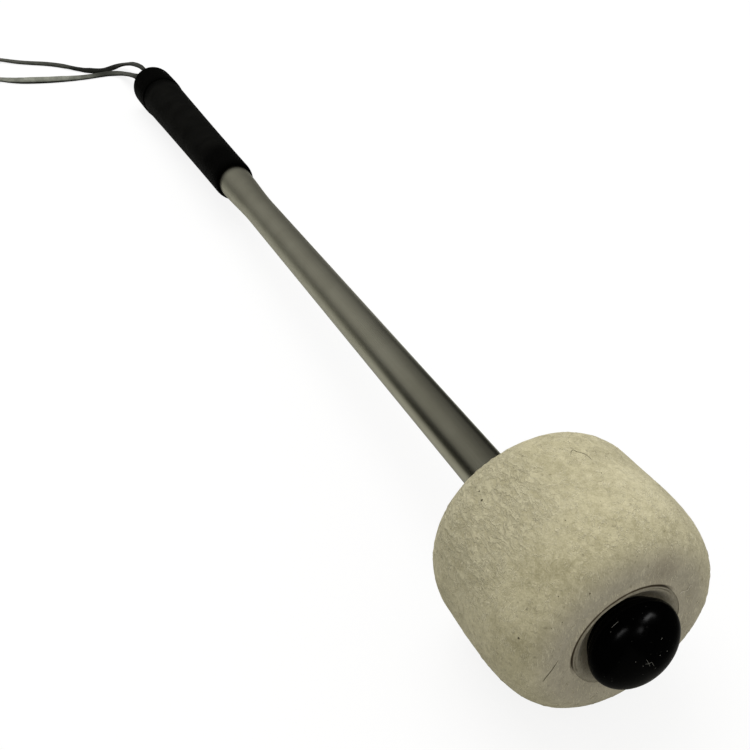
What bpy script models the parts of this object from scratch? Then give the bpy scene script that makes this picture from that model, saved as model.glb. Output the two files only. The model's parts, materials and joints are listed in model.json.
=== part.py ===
"""Marching bass drum mallet: felt head on an aluminium tube, rubber grip, domed nose cap and wrist strap."""

import math

import bpy
from mathutils import Vector

MM = 0.001

# Every turned piece is drawn in millimetres round the mallet's axis: z = 0 is the front face of the
# head, +z points out through the nose cap and the butt is at negative z.

SEAT_GAP = 0.3  # left between two pieces that touch on the real mallet

SHAFT_RADIUS = 5.0
SHAFT_WALL = 1.0
SHAFT_SHOWN = 193.0  # from the back of the head to the mouth of the grip
HANDLE_RADIUS = 5.95  # the tube is swelled where the grip covers it
SWELL_LENGTH = 30.0

HEAD_RADIUS = 22.65
HEAD_LENGTH = 34.9
FACE_LIP = 0.1  # flat felt round the recess, before the front rounding begins
FRONT_ROUND_DEPTH = 18.7
FRONT_ROUND_POWER = 3.25  # above 2 makes the front squarer than an ellipse
BACK_ROUND = 8.7

CORE_RADIUS = 9.0
BACK_FELT = 4.7  # felt left behind the core
SOCKET_DEPTH = 7.0  # of the tube's seat in the core

DISC_RADIUS = 11.0
DISC_THICKNESS = 2.5
DISC_EDGE = 0.3
DISC_SUNK = 0.5  # the cap pulls the disc this far below the felt round it
WASHER_THICKNESS = 1.2
SEAT_WASHER_THICKNESS = 1.0
FRONT_WASHER_RADIUS = 6.4

STUD_RADIUS = 2.5
STUD_POINT = 0.5
STUD_NOSE = 4.5  # how far the stud stands out of the front face
THREAD_DEPTH = 6.0  # of the stud in the shaft's insert
INSERT_LENGTH = 10.0
PIN_RADIUS = 1.0
PIN_TO_END = 2.2  # from the insert's blind end to the pin's centre

CAP_RADIUS = 8.9
CAP_HEIGHT = 6.45
CAP_WIDEST = 2.2  # height of the widest place above the front face
CAP_DOME_POWER = 1.82  # below 2 makes the dome a little more pointed than an ellipse
CAP_FLANGE_RADIUS = 7.9
CAP_FLANGE_TOP = 1.0
CAP_FLARE_STEPS = 4
CAP_EDGE = 0.2
CAP_INSERT_RADIUS = 4.2
CAP_INSERT_LENGTH = 3.4
CAP_INSERT_GROOVE = 0.6

GRIP_LENGTH = 110.7
GRIP_MOUTH_RADIUS = 7.24
GRIP_BUTT_RADIUS = 8.99
GRIP_FLARE_POWER = 1.25  # above 1 keeps the flare near the butt
LIP_LENGTH = 4.5
LIP_FLAT = 0.2

BUTT_RADIUS = 9.47
BUTT_LENGTH = 25.0
BUTT_EDGE = 0.25
BUTT_RIM_STEP = 0.35  # the cap's rim stands this much above the sleeve
BUTT_RISE = 7.0  # length over which the cap swells from its rim to its full radius
BUTT_OVERLAP = 10.0  # of the cap over the tube
BUTT_END_WALL = 4.0
BUTT_ROUND_RADIAL = 3.0
BUTT_ROUND_AXIAL = 4.5
KNOT_ROOM_RADIUS = 6.5

STRAP_RADIUS = 1.5
STRAND_OFFSET = 1.8  # from the axis to each of the two strands in the butt cap's hole
STRAP_WASHER_THICKNESS = 1.0

TURN_STEPS = 48
SMALL_TURN_STEPS = 24
ARC_POINTS = 9
HEAD_ARC_POINTS = 14
DOME_STEPS = 12
SWELL_STEPS = 8
SIDE_STEPS = 8
MERGE_DISTANCE = 0.00001

HEAD_BACK = -HEAD_LENGTH
GRIP_MOUTH = HEAD_BACK - SHAFT_SHOWN
BUTT_RIM = GRIP_MOUTH - GRIP_LENGTH
TUBE_BUTT = BUTT_RIM - BUTT_OVERLAP
BUTT_END = BUTT_RIM - BUTT_LENGTH
KNOT_ROOM_END = BUTT_END + BUTT_END_WALL

FACE_RADIUS = DISC_RADIUS + SEAT_GAP + FACE_LIP
DISC_TOP = -DISC_SUNK
DISC_BOTTOM = DISC_TOP - DISC_THICKNESS
CAP_SEAT = DISC_TOP + SEAT_GAP
CORE_FRONT = DISC_BOTTOM - SEAT_GAP
CORE_BACK = HEAD_BACK + BACK_FELT + SEAT_GAP
SOCKET_FLOOR = CORE_BACK + SOCKET_DEPTH
TUBE_FRONT = SOCKET_FLOOR - SEAT_WASHER_THICKNESS - 2 * SEAT_GAP
BORE_RADIUS = SHAFT_RADIUS - SHAFT_WALL
STUD_HOLE = STUD_RADIUS + SEAT_GAP
STRAP_HOLE = STRAND_OFFSET + STRAP_RADIUS + SEAT_GAP
INSERT_FRONT = TUBE_FRONT - SEAT_GAP
PIN_Z = INSERT_FRONT - INSERT_LENGTH + PIN_TO_END
FRONT_ROUND_END = -FRONT_ROUND_DEPTH
BACK_ROUND_START = HEAD_BACK + BACK_ROUND


def clear_scene():
    for thing in list(bpy.data.objects):
        bpy.data.objects.remove(thing, do_unlink=True)


def make_collection(name):
    collection = bpy.data.collections.new(name)
    bpy.context.scene.collection.children.link(collection)
    return collection


def make_material(name, color, roughness, metallic=0.0):
    material = bpy.data.materials.new(name)
    material.use_nodes = True
    surface = material.node_tree.nodes["Principled BSDF"]
    surface.inputs["Base Color"].default_value = (*color, 1.0)
    surface.inputs["Roughness"].default_value = roughness
    surface.inputs["Metallic"].default_value = metallic
    material.diffuse_color = (*color, 1.0)
    return material


def place(thing, collection, parent, material):
    collection.objects.link(thing)
    thing.parent = parent
    if material:
        thing.data.materials.append(material)
    return thing


def rounded(radius, z, radial, axial, outward, upward, power=2.0, count=ARC_POINTS):
    """Points of a quarter of a superellipse round (radius, z), from its end face towards its side."""
    points = []
    for step in range(count):
        turn = math.radians(90.0 * step / (count - 1))
        across = math.sin(turn) ** (2.0 / power)
        along = max(math.cos(turn), 0.0) ** (2.0 / power)
        points.append((radius + outward * radial * across, z + upward * axial * along))
    return points


def turned(name, outline, collection, parent, material, steps=TURN_STEPS, closed=True):
    """A solid of revolution: the outline runs down its outer side and back up its bore."""
    mesh = bpy.data.meshes.new(name)
    points = [(radius * MM, 0.0, z * MM) for radius, z in outline]
    edges = [(i, i + 1) for i in range(len(points) - 1)]
    if closed:
        edges.append((len(points) - 1, 0))
    mesh.from_pydata(points, edges, [])
    thing = place(bpy.data.objects.new(name, mesh), collection, parent, material)
    thing.rotation_euler.z = math.pi / steps
    screw = thing.modifiers.new("Turn", "SCREW")
    screw.axis = "Z"
    screw.angle = math.tau
    screw.steps = steps
    screw.render_steps = steps
    screw.use_merge_vertices = True
    screw.merge_threshold = MERGE_DISTANCE
    screw.use_smooth_shade = True
    return thing


def washer(name, z, thickness, outer, inner, collection, parent, material):
    outline = [(inner, z), (outer, z), (outer, z - thickness), (inner, z - thickness)]
    return turned(name, outline, collection, parent, material)


def cylinder(name, radius, depth, steps=32):
    bpy.ops.mesh.primitive_cylinder_add(vertices=steps, radius=radius * MM, depth=depth * MM)
    thing = bpy.context.object
    thing.name = name
    for owner in list(thing.users_collection):
        owner.objects.unlink(thing)
    return thing


def cut(thing, cutter):
    drill = thing.modifiers.new("Cut", "BOOLEAN")
    drill.operation = "DIFFERENCE"
    drill.solver = "EXACT"
    drill.object = cutter


def flat_radius(radius):
    """From the axis to the middle of a turned piece's flat side, which is what it lies on."""
    return radius * math.cos(math.pi / TURN_STEPS)


def rest_tilt():
    """The mallet lies on the head's side and the butt cap, so its axis rises towards the head."""
    butt_contact = BUTT_END + BUTT_ROUND_AXIAL
    rise = flat_radius(HEAD_RADIUS) - flat_radius(BUTT_RADIUS)
    return math.atan2(rise, BACK_ROUND_START - butt_contact)


def dome_line():
    """The cap's outside from the nose to its flange, as radius and height."""
    line = []
    for step in range(DOME_STEPS + 1):
        turn = math.pi / 2 * step / DOME_STEPS
        line.append(
            (
                CAP_RADIUS * math.pow(math.sin(turn), 2 / CAP_DOME_POWER),
                CAP_WIDEST
                + (CAP_HEIGHT - CAP_WIDEST)
                * math.pow(max(math.cos(turn), 0.0), 2 / CAP_DOME_POWER),
            )
        )
    for step in range(1, CAP_FLARE_STEPS + 1):
        turn = math.pi / 2 * step / CAP_FLARE_STEPS
        line.append(
            (
                CAP_FLANGE_RADIUS + (CAP_RADIUS - CAP_FLANGE_RADIUS) * math.cos(turn),
                CAP_WIDEST - (CAP_WIDEST - CAP_FLANGE_TOP) * math.sin(turn),
            )
        )
    return line


def axis_point(z, tilt):
    """World place of an axis point, with the origin on the surface midway along the mallet."""
    lift = flat_radius(HEAD_RADIUS) * math.cos(tilt) - BACK_ROUND_START * math.sin(tilt)
    nose = max(z * math.cos(tilt) + r * math.sin(tilt) for r, z in dome_line())
    end_radius = BUTT_RADIUS - BUTT_ROUND_RADIAL
    tail = BUTT_END * math.cos(tilt) - end_radius * math.sin(tilt)
    middle = (nose + tail) / 2
    return Vector((z * math.cos(tilt) - middle, 0.0, z * math.sin(tilt) + lift)) * MM


def make_felt_head(kit):
    recess = DISC_RADIUS + SEAT_GAP
    recess_floor = DISC_BOTTOM - SEAT_GAP
    core_hole = CORE_RADIUS + SEAT_GAP
    shaft_hole = SHAFT_RADIUS + SEAT_GAP
    front = rounded(
        FACE_RADIUS,
        FRONT_ROUND_END,
        HEAD_RADIUS - FACE_RADIUS,
        FRONT_ROUND_DEPTH,
        1,
        1,
        power=FRONT_ROUND_POWER,
        count=HEAD_ARC_POINTS,
    )
    back = rounded(
        HEAD_RADIUS - BACK_ROUND, BACK_ROUND_START, BACK_ROUND, BACK_ROUND, 1, -1
    )
    bore = [
        (shaft_hole, HEAD_BACK),
        (shaft_hole, HEAD_BACK + BACK_FELT),
        (core_hole, HEAD_BACK + BACK_FELT),
        (core_hole, recess_floor),
        (recess, recess_floor),
        (recess, 0.0),
    ]
    felt = kit["materials"]["felt"]
    outline = front + back[::-1] + bore
    turned("felt_head", outline, kit["parts"], kit["axis"], felt)


def make_head_core(kit):
    socket = SHAFT_RADIUS + SEAT_GAP
    outline = [
        (STUD_HOLE, CORE_FRONT),
        (CORE_RADIUS, CORE_FRONT),
        (CORE_RADIUS, CORE_BACK),
        (socket, CORE_BACK),
        (socket, SOCKET_FLOOR),
        (STUD_HOLE, SOCKET_FLOOR),
    ]
    turned("head_core", outline, kit["parts"], kit["axis"], kit["materials"]["wood"])


def make_washers(kit):
    steel = kit["materials"]["steel"]
    place_of = (kit["parts"], kit["axis"], steel)
    washer(
        "seat_washer",
        SOCKET_FLOOR - SEAT_GAP,
        SEAT_WASHER_THICKNESS,
        SHAFT_RADIUS,
        STUD_HOLE,
        *place_of,
    )
    washer(
        "front_washer",
        CAP_SEAT + WASHER_THICKNESS,
        WASHER_THICKNESS,
        FRONT_WASHER_RADIUS,
        STUD_HOLE,
        *place_of,
    )
    washer(
        "strap_washer",
        KNOT_ROOM_END + SEAT_GAP + STRAP_WASHER_THICKNESS,
        STRAP_WASHER_THICKNESS,
        KNOT_ROOM_RADIUS - SEAT_GAP,
        STRAP_HOLE,
        *place_of,
    )


def make_front_disc(kit):
    outline = [
        (STUD_HOLE, DISC_TOP),
        (DISC_RADIUS - DISC_EDGE, DISC_TOP),
        (DISC_RADIUS, DISC_TOP - DISC_EDGE),
        (DISC_RADIUS, DISC_BOTTOM),
        (STUD_HOLE, DISC_BOTTOM),
    ]
    turned("front_disc", outline, kit["parts"], kit["axis"], kit["materials"]["disc"])


def make_shaft_tube(kit):
    swell = []
    for step in range(SWELL_STEPS + 1):
        share = step / SWELL_STEPS
        ease = share * share * (3 - 2 * share)
        swell.append(
            (
                SHAFT_RADIUS + (HANDLE_RADIUS - SHAFT_RADIUS) * ease,
                GRIP_MOUTH + SWELL_LENGTH * (1 - share),
            )
        )
    outline = [
        (BORE_RADIUS, TUBE_FRONT),
        (SHAFT_RADIUS, TUBE_FRONT),
        *swell,
        (HANDLE_RADIUS, TUBE_BUTT),
        (BORE_RADIUS, TUBE_BUTT),
    ]
    tube = turned(
        "shaft_tube", outline, kit["parts"], kit["axis"], kit["materials"]["aluminium"]
    )
    cut(tube, kit["pin_hole"])


def make_shaft_insert(kit):
    radius = BORE_RADIUS - SEAT_GAP
    end = INSERT_FRONT - INSERT_LENGTH
    outline = [
        (0.0, INSERT_FRONT - THREAD_DEPTH - SEAT_GAP),
        (STUD_HOLE, INSERT_FRONT - THREAD_DEPTH - SEAT_GAP),
        (STUD_HOLE, INSERT_FRONT),
        (radius, INSERT_FRONT),
        (radius, end),
        (0.0, end),
    ]
    insert = turned(
        "shaft_insert",
        outline,
        kit["parts"],
        kit["axis"],
        kit["materials"]["steel"],
        closed=False,
    )
    cut(insert, kit["pin_hole"])


def make_insert_pin(kit):
    pin = cylinder("insert_pin", PIN_RADIUS, 2 * SHAFT_RADIUS)
    pin.location = (0.0, 0.0, PIN_Z * MM)
    pin.rotation_euler.x = math.pi / 2
    place(pin, kit["parts"], kit["axis"], kit["materials"]["steel"])


def make_pin_hole(kit):
    hole = cylinder("pin_hole_cutter", PIN_RADIUS + SEAT_GAP, 4 * SHAFT_RADIUS)
    hole.location = (0.0, 0.0, PIN_Z * MM)
    hole.rotation_euler.x = math.pi / 2
    hole.hide_render = True
    hole.display_type = "WIRE"
    return place(hole, kit["guides"], kit["axis"], None)


def make_head_stud(kit):
    back = INSERT_FRONT - THREAD_DEPTH
    outline = [
        (0.0, STUD_NOSE),
        (STUD_RADIUS - STUD_POINT, STUD_NOSE),
        (STUD_RADIUS, STUD_NOSE - STUD_POINT),
        (STUD_RADIUS, back + STUD_POINT),
        (STUD_RADIUS - STUD_POINT, back),
        (0.0, back),
    ]
    turned(
        "head_stud",
        outline,
        kit["parts"],
        kit["axis"],
        kit["materials"]["steel"],
        steps=SMALL_TURN_STEPS,
        closed=False,
    )


def make_dome_cap(kit):
    recess = FRONT_WASHER_RADIUS + SEAT_GAP
    recess_top = CAP_SEAT + WASHER_THICKNESS + SEAT_GAP
    socket = CAP_INSERT_RADIUS + SEAT_GAP
    socket_top = recess_top + CAP_INSERT_LENGTH + SEAT_GAP
    foot = [
        (CAP_FLANGE_RADIUS, CAP_SEAT + CAP_EDGE),
        (CAP_FLANGE_RADIUS - CAP_EDGE, CAP_SEAT),
        (recess, CAP_SEAT),
        (recess, recess_top),
        (socket, recess_top),
        (socket, socket_top),
        (0.0, socket_top),
    ]
    outline = dome_line() + foot
    turned(
        "dome_cap",
        outline,
        kit["parts"],
        kit["axis"],
        kit["materials"]["cap"],
        closed=False,
    )


def make_cap_insert(kit):
    bottom = CAP_SEAT + WASHER_THICKNESS + SEAT_GAP
    top = bottom + CAP_INSERT_LENGTH
    waist = CAP_INSERT_RADIUS - CAP_INSERT_GROOVE
    third = CAP_INSERT_LENGTH / 3
    outline = [
        (STUD_HOLE, top),
        (CAP_INSERT_RADIUS, top),
        (CAP_INSERT_RADIUS, top - third),
        (waist, top - third),
        (waist, bottom + third),
        (CAP_INSERT_RADIUS, bottom + third),
        (CAP_INSERT_RADIUS, bottom),
        (STUD_HOLE, bottom),
    ]
    turned("cap_insert", outline, kit["parts"], kit["axis"], kit["materials"]["brass"])


def make_grip_sleeve(kit):
    bore = HANDLE_RADIUS + SEAT_GAP
    lip_radial = GRIP_MOUTH_RADIUS - bore - LIP_FLAT
    lip_end = GRIP_MOUTH - LIP_LENGTH
    lip = rounded(bore + LIP_FLAT, lip_end, lip_radial, LIP_LENGTH, 1, 1)
    side = []
    for step in range(1, SIDE_STEPS + 1):
        share = step / SIDE_STEPS
        radius = GRIP_MOUTH_RADIUS + (
            GRIP_BUTT_RADIUS - GRIP_MOUTH_RADIUS
        ) * math.pow(share, GRIP_FLARE_POWER)
        side.append((radius, lip_end + (BUTT_RIM - lip_end) * share))
    outline = [(bore, GRIP_MOUTH)] + lip + side + [(bore, BUTT_RIM)]
    turned(
        "grip_sleeve", outline, kit["parts"], kit["axis"], kit["materials"]["rubber"]
    )


def make_butt_cap(kit):
    rim = BUTT_RIM - SEAT_GAP
    rim_radius = GRIP_BUTT_RADIUS + BUTT_RIM_STEP
    bore = HANDLE_RADIUS + SEAT_GAP
    end = rounded(
        BUTT_RADIUS - BUTT_ROUND_RADIAL,
        BUTT_END + BUTT_ROUND_AXIAL,
        BUTT_ROUND_RADIAL,
        BUTT_ROUND_AXIAL,
        1,
        -1,
    )
    outline = (
        [
            (bore, rim),
            (rim_radius - BUTT_EDGE, rim),
            (rim_radius, rim - BUTT_EDGE),
            (BUTT_RADIUS, rim - BUTT_RISE),
        ]
        + end[::-1]
        + [
            (STRAP_HOLE, BUTT_END),
            (STRAP_HOLE, KNOT_ROOM_END),
            (KNOT_ROOM_RADIUS, KNOT_ROOM_END),
            (KNOT_ROOM_RADIUS, TUBE_BUTT - SEAT_GAP),
            (bore, TUBE_BUTT - SEAT_GAP),
        ]
    )
    turned("butt_cap", outline, kit["parts"], kit["axis"], kit["materials"]["rubber"])


def make_strap_knot(kit):
    """The knot that ties the strap's two ends, bearing on its washer in the butt cap."""
    front = TUBE_BUTT - 2 * SEAT_GAP
    back = KNOT_ROOM_END + 2 * SEAT_GAP + STRAP_WASHER_THICKNESS
    half = (front - back) / 2
    radius = KNOT_ROOM_RADIUS - 2 * SEAT_GAP
    outline = []
    for step in range(DOME_STEPS + 1):
        turn = math.pi * step / DOME_STEPS
        outline.append((radius * math.sin(turn), front - half + half * math.cos(turn)))
    turned(
        "strap_knot",
        outline,
        kit["parts"],
        kit["axis"],
        kit["materials"]["strap"],
        steps=SMALL_TURN_STEPS,
        closed=False,
    )


# The strap's route, in millimetres from the middle of the hole in the butt cap's end: x along the
# mallet towards the head, y across it, and z above the surface that the mallet lies on.
STRAP_ROUTE = [
    (5.2, 1.8, 9.21),
    (0.0, 1.8, 8.99),
    (-9.0, 1.9, 8.8),
    (-18.5, 2.1, 8.7),
    (-28.0, 2.2, 8.4),
    (-37.5, 1.8, 7.6),
    (-46.5, 0.9, 6.2),
    (-54.5, -0.5, 4.4),
    (-60.0, -2.7, 2.7),
    (-62.2, -5.9, 1.7),
    (-60.8, -9.8, 1.5),
    (-59.3, -13.4, 1.5),
    (-59.6, -17.2, 1.5),
    (-62.3, -20.9, 1.5),
    (-66.4, -24.6, 1.5),
    (-71.6, -28.6, 1.5),
    (-77.4, -32.9, 1.5),
    (-82.0, -37.4, 1.5),
    (-85.6, -42.1, 1.5),
    (-88.8, -46.9, 1.5),
    (-92.2, -51.7, 1.5),
    (-96.2, -56.2, 1.5),
    (-100.8, -60.9, 1.5),
    (-107.5, -68.5, 1.5),
    (-113.5, -77.5, 1.5),
    (-117.0, -87.5, 1.5),
    (-117.0, -98.0, 1.5),
    (-112.5, -107.0, 1.5),
    (-104.0, -112.0, 1.5),
    (-94.0, -111.5, 1.5),
    (-85.5, -107.0, 1.5),
    (-79.8, -99.5, 1.5),
    (-76.5, -90.5, 1.5),
    (-74.0, -81.0, 1.5),
    (-70.8, -72.5, 1.5),
    (-66.3, -64.8, 1.5),
    (-62.0, -59.8, 1.5),
    (-58.7, -55.4, 1.5),
    (-56.5, -50.8, 1.5),
    (-54.9, -46.1, 1.5),
    (-53.6, -41.3, 1.5),
    (-52.7, -36.5, 1.5),
    (-52.1, -31.6, 1.5),
    (-51.8, -26.6, 1.5),
    (-51.9, -21.5, 1.5),
    (-52.4, -16.5, 1.5),
    (-52.4, -11.8, 1.5),
    (-50.4, -8.2, 1.6),
    (-46.3, -6.0, 2.2),
    (-40.9, -4.7, 3.4),
    (-34.8, -3.8, 4.8),
    (-28.0, -3.1, 6.3),
    (-20.9, -2.4, 7.8),
    (-13.5, -2.0, 8.6),
    (-7.0, -1.8, 8.85),
    (0.0, -1.8, 8.99),
    (5.2, -1.8, 9.21),
]
STRAP_POINT_SPACING = 6.0
ROUTE_STEPS = 20  # fine steps between two route points, from which the even ones are taken


def smooth_route(route, spacing):
    """Evenly spaced points on a Catmull-Rom curve through the route."""
    points = [Vector(point) for point in route]
    padded = [2 * points[0] - points[1]] + points + [2 * points[-1] - points[-2]]
    fine = []
    for before, start, end, after in zip(padded, padded[1:], padded[2:], padded[3:]):
        for step in range(ROUTE_STEPS):
            t = step / ROUTE_STEPS
            fine.append(
                0.5
                * (
                    2 * start
                    + (end - before) * t
                    + (2 * before - 5 * start + 4 * end - after) * t**2
                    + (3 * start - before - 3 * end + after) * t**3
                )
            )
    fine.append(points[-1])
    lengths = [0.0]
    for a, b in zip(fine, fine[1:]):
        lengths.append(lengths[-1] + (b - a).length)
    count = round(lengths[-1] / spacing)
    even = []
    place_now = 0
    for step in range(count + 1):
        wanted = lengths[-1] * step / count
        while place_now < len(fine) - 2 and lengths[place_now + 1] < wanted:
            place_now += 1
        run = lengths[place_now + 1] - lengths[place_now]
        share = (wanted - lengths[place_now]) / run
        even.append(fine[place_now].lerp(fine[place_now + 1], share))
    return even, lengths[-1]


def make_wrist_strap(kit):
    points, length = smooth_route(STRAP_ROUTE, STRAP_POINT_SPACING)
    print(f"wrist_strap: {length:.0f} mm long")
    curve = bpy.data.curves.new("wrist_strap", "CURVE")
    curve.dimensions = "3D"
    curve.bevel_depth = STRAP_RADIUS * MM
    curve.bevel_resolution = 2
    curve.use_fill_caps = True
    spline = curve.splines.new("POLY")
    spline.points.add(len(points) - 1)
    for target, point in zip(spline.points, points):
        target.co = (*(point * MM), 1.0)
    thing = bpy.data.objects.new("wrist_strap", curve)
    place(thing, kit["parts"], kit["strap_place"], kit["materials"]["strap"])


def make_materials():
    return {
        "felt": make_material("felt", (0.50, 0.46, 0.33), 0.95),
        "disc": make_material("disc_felt", (0.42, 0.38, 0.29), 0.95),
        "wood": make_material("core_wood", (0.52, 0.36, 0.20), 0.6),
        "steel": make_material("steel", (0.55, 0.55, 0.56), 0.35, 1.0),
        "brass": make_material("brass", (0.70, 0.53, 0.24), 0.35, 1.0),
        "aluminium": make_material("aluminium", (0.42, 0.41, 0.36), 0.38, 1.0),
        "cap": make_material("cap_plastic", (0.012, 0.012, 0.012), 0.18),
        "rubber": make_material("grip_rubber", (0.018, 0.018, 0.016), 0.55),
        "strap": make_material("strap_cord", (0.06, 0.06, 0.05), 0.5),
    }


def make_empty(name, collection, location):
    empty = bpy.data.objects.new(name, None)
    empty.location = location
    collection.objects.link(empty)
    return empty


def main():
    clear_scene()
    parts = make_collection("marching_bass_drum_mallet")
    guides = make_collection("guides")
    tilt = rest_tilt()
    axis = make_empty("mallet_axis", guides, axis_point(0.0, tilt))
    axis.rotation_euler.y = math.pi / 2 - tilt
    hole = axis_point(BUTT_END, tilt)
    kit = {
        "parts": parts,
        "guides": guides,
        "axis": axis,
        "strap_place": make_empty("strap_place", guides, (hole.x, 0.0, 0.0)),
        "materials": make_materials(),
    }
    kit["pin_hole"] = make_pin_hole(kit)
    make_felt_head(kit)
    make_head_core(kit)
    make_washers(kit)
    make_front_disc(kit)
    make_shaft_tube(kit)
    make_shaft_insert(kit)
    make_insert_pin(kit)
    make_head_stud(kit)
    make_dome_cap(kit)
    make_cap_insert(kit)
    make_grip_sleeve(kit)
    make_butt_cap(kit)
    make_strap_knot(kit)
    make_wrist_strap(kit)


main()
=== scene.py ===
"""Looks of a marching bass drum mallet: felt, aluminium, rubber, a glossy nose cap and a wrist thong."""

import json
import math
import random

import bmesh
import bpy
from mathutils import Matrix, Vector, noise


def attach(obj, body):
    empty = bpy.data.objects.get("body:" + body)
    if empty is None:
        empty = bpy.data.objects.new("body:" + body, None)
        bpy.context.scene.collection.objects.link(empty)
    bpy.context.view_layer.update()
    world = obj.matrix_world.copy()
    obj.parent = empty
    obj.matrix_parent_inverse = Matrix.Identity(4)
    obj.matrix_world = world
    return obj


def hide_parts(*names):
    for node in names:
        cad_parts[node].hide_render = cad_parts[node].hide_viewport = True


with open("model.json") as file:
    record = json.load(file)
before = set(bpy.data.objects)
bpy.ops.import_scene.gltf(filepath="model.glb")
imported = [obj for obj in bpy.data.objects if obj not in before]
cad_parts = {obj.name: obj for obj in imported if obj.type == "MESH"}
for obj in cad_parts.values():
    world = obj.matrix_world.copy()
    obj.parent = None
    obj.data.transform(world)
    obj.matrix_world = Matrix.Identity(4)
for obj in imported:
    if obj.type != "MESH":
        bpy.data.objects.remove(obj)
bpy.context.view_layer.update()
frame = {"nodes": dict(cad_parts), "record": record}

MM = 0.001
dice = random.Random(20)

# The mallet's own frame, in millimetres: z = 0 is the front face of the head, +z points out through
# the nose cap. The record's turning joint states where that is.
TURN = [j for j in frame["record"]["behaviour"]["joints"] if j["name"] == "cap_turn"][0]
FACE = Vector(TURN["pos_m"])
AXIS = Vector(TURN["axis"]).normalized()
TILT = math.asin(AXIS.z)
LEAN = Matrix.Rotation(math.pi / 2 - TILT, 4, "Y")
TO_WORLD = Matrix.Translation(FACE) @ LEAN @ Matrix.Scale(MM, 4)
UP = Vector((0.0, 0.0, 1.0))
SURFACE_LIFT = 0.00002  # in metres: felt and lace that meet the surface stay this far above it
GAP = 0.3  # between pieces that seat on each other

HEAD_RADIUS = 22.65
HEAD_LENGTH = 34.9
FACE_RADIUS = 11.4  # where the front face starts to round off
FRONT_DEPTH = 18.7  # how far back that rounding reaches
FRONT_POWER = 3.25  # above 2 is squarer than an ellipse
BACK_ROUND = 8.7
RECESS_RADIUS = 11.3
RECESS_FLOOR = -3.3
CORE_HOLE = 9.3
SHAFT_HOLE = 5.3
BACK_FELT = 4.7  # thickness of the felt behind the core
SKIN_STEP = 0.42  # between the rings of the felt's skin
LINE_STEP = 0.3  # between the points of the outline that the fibres follow
FRONT_ZONE = -3.0  # in front of it the felt has the shape of its face and not of its side
DISH_RADIUS = 12.6  # the face is pressed in round here
DISH_WIDTH = 1.5
DISH_DEPTH = 0.3
LIP_REACH = 0.55  # how far the recess's lip leans in where the groove is closed
RING_MIDDLE = 212.0  # degrees round the face where the groove round the disc is most open
RING_CLOSES = (58.0, 88.0)  # degrees from there between which the felt closes over it
RING_SHOWS = (0.02, 0.50)  # the same for its painted groove shade, as cosines
WORN_SIDE = -132.0  # degrees round the head where the felt is most worn
# the middle of a patch of painted shade on the front face near the groove, in millimetres
SHADED_PATCH = (-13.4, 5.4, -0.1)

DISC_RADIUS = 11.0
DISC_HOLE = 2.8
DISC_TOP = -0.5
DISC_BACK = -3.0
DISC_FLAT = 10.1  # the pressed bead starts outside it
DISC_BEAD = [(10.22, -0.05), (10.34, -0.22), (10.48, -0.22), (10.58, 0.1), (10.72, 0.2), (10.86, 0.1)]
DISC_EDGE_DROP = -0.2
DISC_SEAT = -0.26  # where the leaning cap's foot presses on it, at the axis
DISC_LUMPS = 0.05

SHAFT_RADIUS = 5.0
SHAFT_BORE = 4.0
SHAFT_FRONT = -24.5
SHAFT_EDGE = 0.15
HANDLE_RADIUS = 5.95
SWELL_LENGTH = 30.0
SHAFT_BUTT = -348.6

RUBBER_BORE = HANDLE_RADIUS + GAP
GRIP_MOUTH = -227.9
MOUTH_RADIUS = 7.24
MOUTH_ROUND = 4.5
GRIP_RADIUS = 8.99  # at the butt cap
GRIP_TAPER = 1.25  # above 1 widens more and more towards the butt cap
BUTT_RIM = -338.6
GRIP_END = BUTT_RIM - 0.27
BUTT_END = -363.6
BUTT_ROUND = 4.5
BUTT_FLAT = 6.47  # radius of its flat end
RIM_RADIUS = 8.97
RIM_LENGTH = 1.3
SHOULDER_RADIUS = 9.34
SHOULDER_LENGTH = 5.7
BUTT_RADIUS = 9.47
THONG_HOLE = 3.6
HOLE_EDGE = 0.25
END_WALL = 4.0
KNOT_ROOM = 6.5

DOME_RADIUS = 8.9
DOME_HEIGHT = 6.45
DOME_WIDEST = 2.2  # height of its widest place above the front face
DOME_POWER = 1.82  # below 2 is a little more pointed than an ellipse
FLANGE_RADIUS = 7.9
FLANGE_TOP = 1.0
DOME_FOOT = -0.2
WASHER_ROOM = (6.7, 1.3)  # radius and height of the hollow over the washer
STUD_ROOM = (4.5, 5.0)  # radius and height of the hollow over the stud
# The cap sits a little askew on the disc.
CAP_LEAN = (
    Matrix.Translation((-0.06, -0.03, 0.0)) @ Matrix.Rotation(-0.195, 4, "Y") @ Matrix.Rotation(0.066, 4, "X")
)
FOOT_LEANS = (6.9, 7.6)  # its foot is straight inside the one radius and leans outside the other


# Lines, curves and small sums

def clamped(x):
    return max(0.0, min(1.0, x))


def smooth(x, low, high):
    t = clamped((x - low) / (high - low))
    return t * t * (3 - 2 * t)


def between(pairs, x):
    """The value at x of a table of (x, value), eased from one to the next."""
    for (x0, v0), (x1, v1) in zip(pairs, pairs[1:]):
        if x <= x1:
            return v0 + (v1 - v0) * smooth(x, x0, x1)
    return pairs[-1][1]


def through(points, steps):
    """A Catmull-Rom curve through the points."""
    points = [Vector(p) for p in points]
    padded = [2 * points[0] - points[1]] + points + [2 * points[-1] - points[-2]]
    fine = []
    for before, start, end, after in zip(padded, padded[1:], padded[2:], padded[3:]):
        straight = end - before
        bow = 2 * before - 5 * start + 4 * end - after
        twist = 3 * start - before - 3 * end + after
        for step in range(steps):
            t = step / steps
            fine.append(0.5 * (2 * start + straight * t + bow * t**2 + twist * t**3))
    fine.append(points[-1])
    return fine


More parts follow.
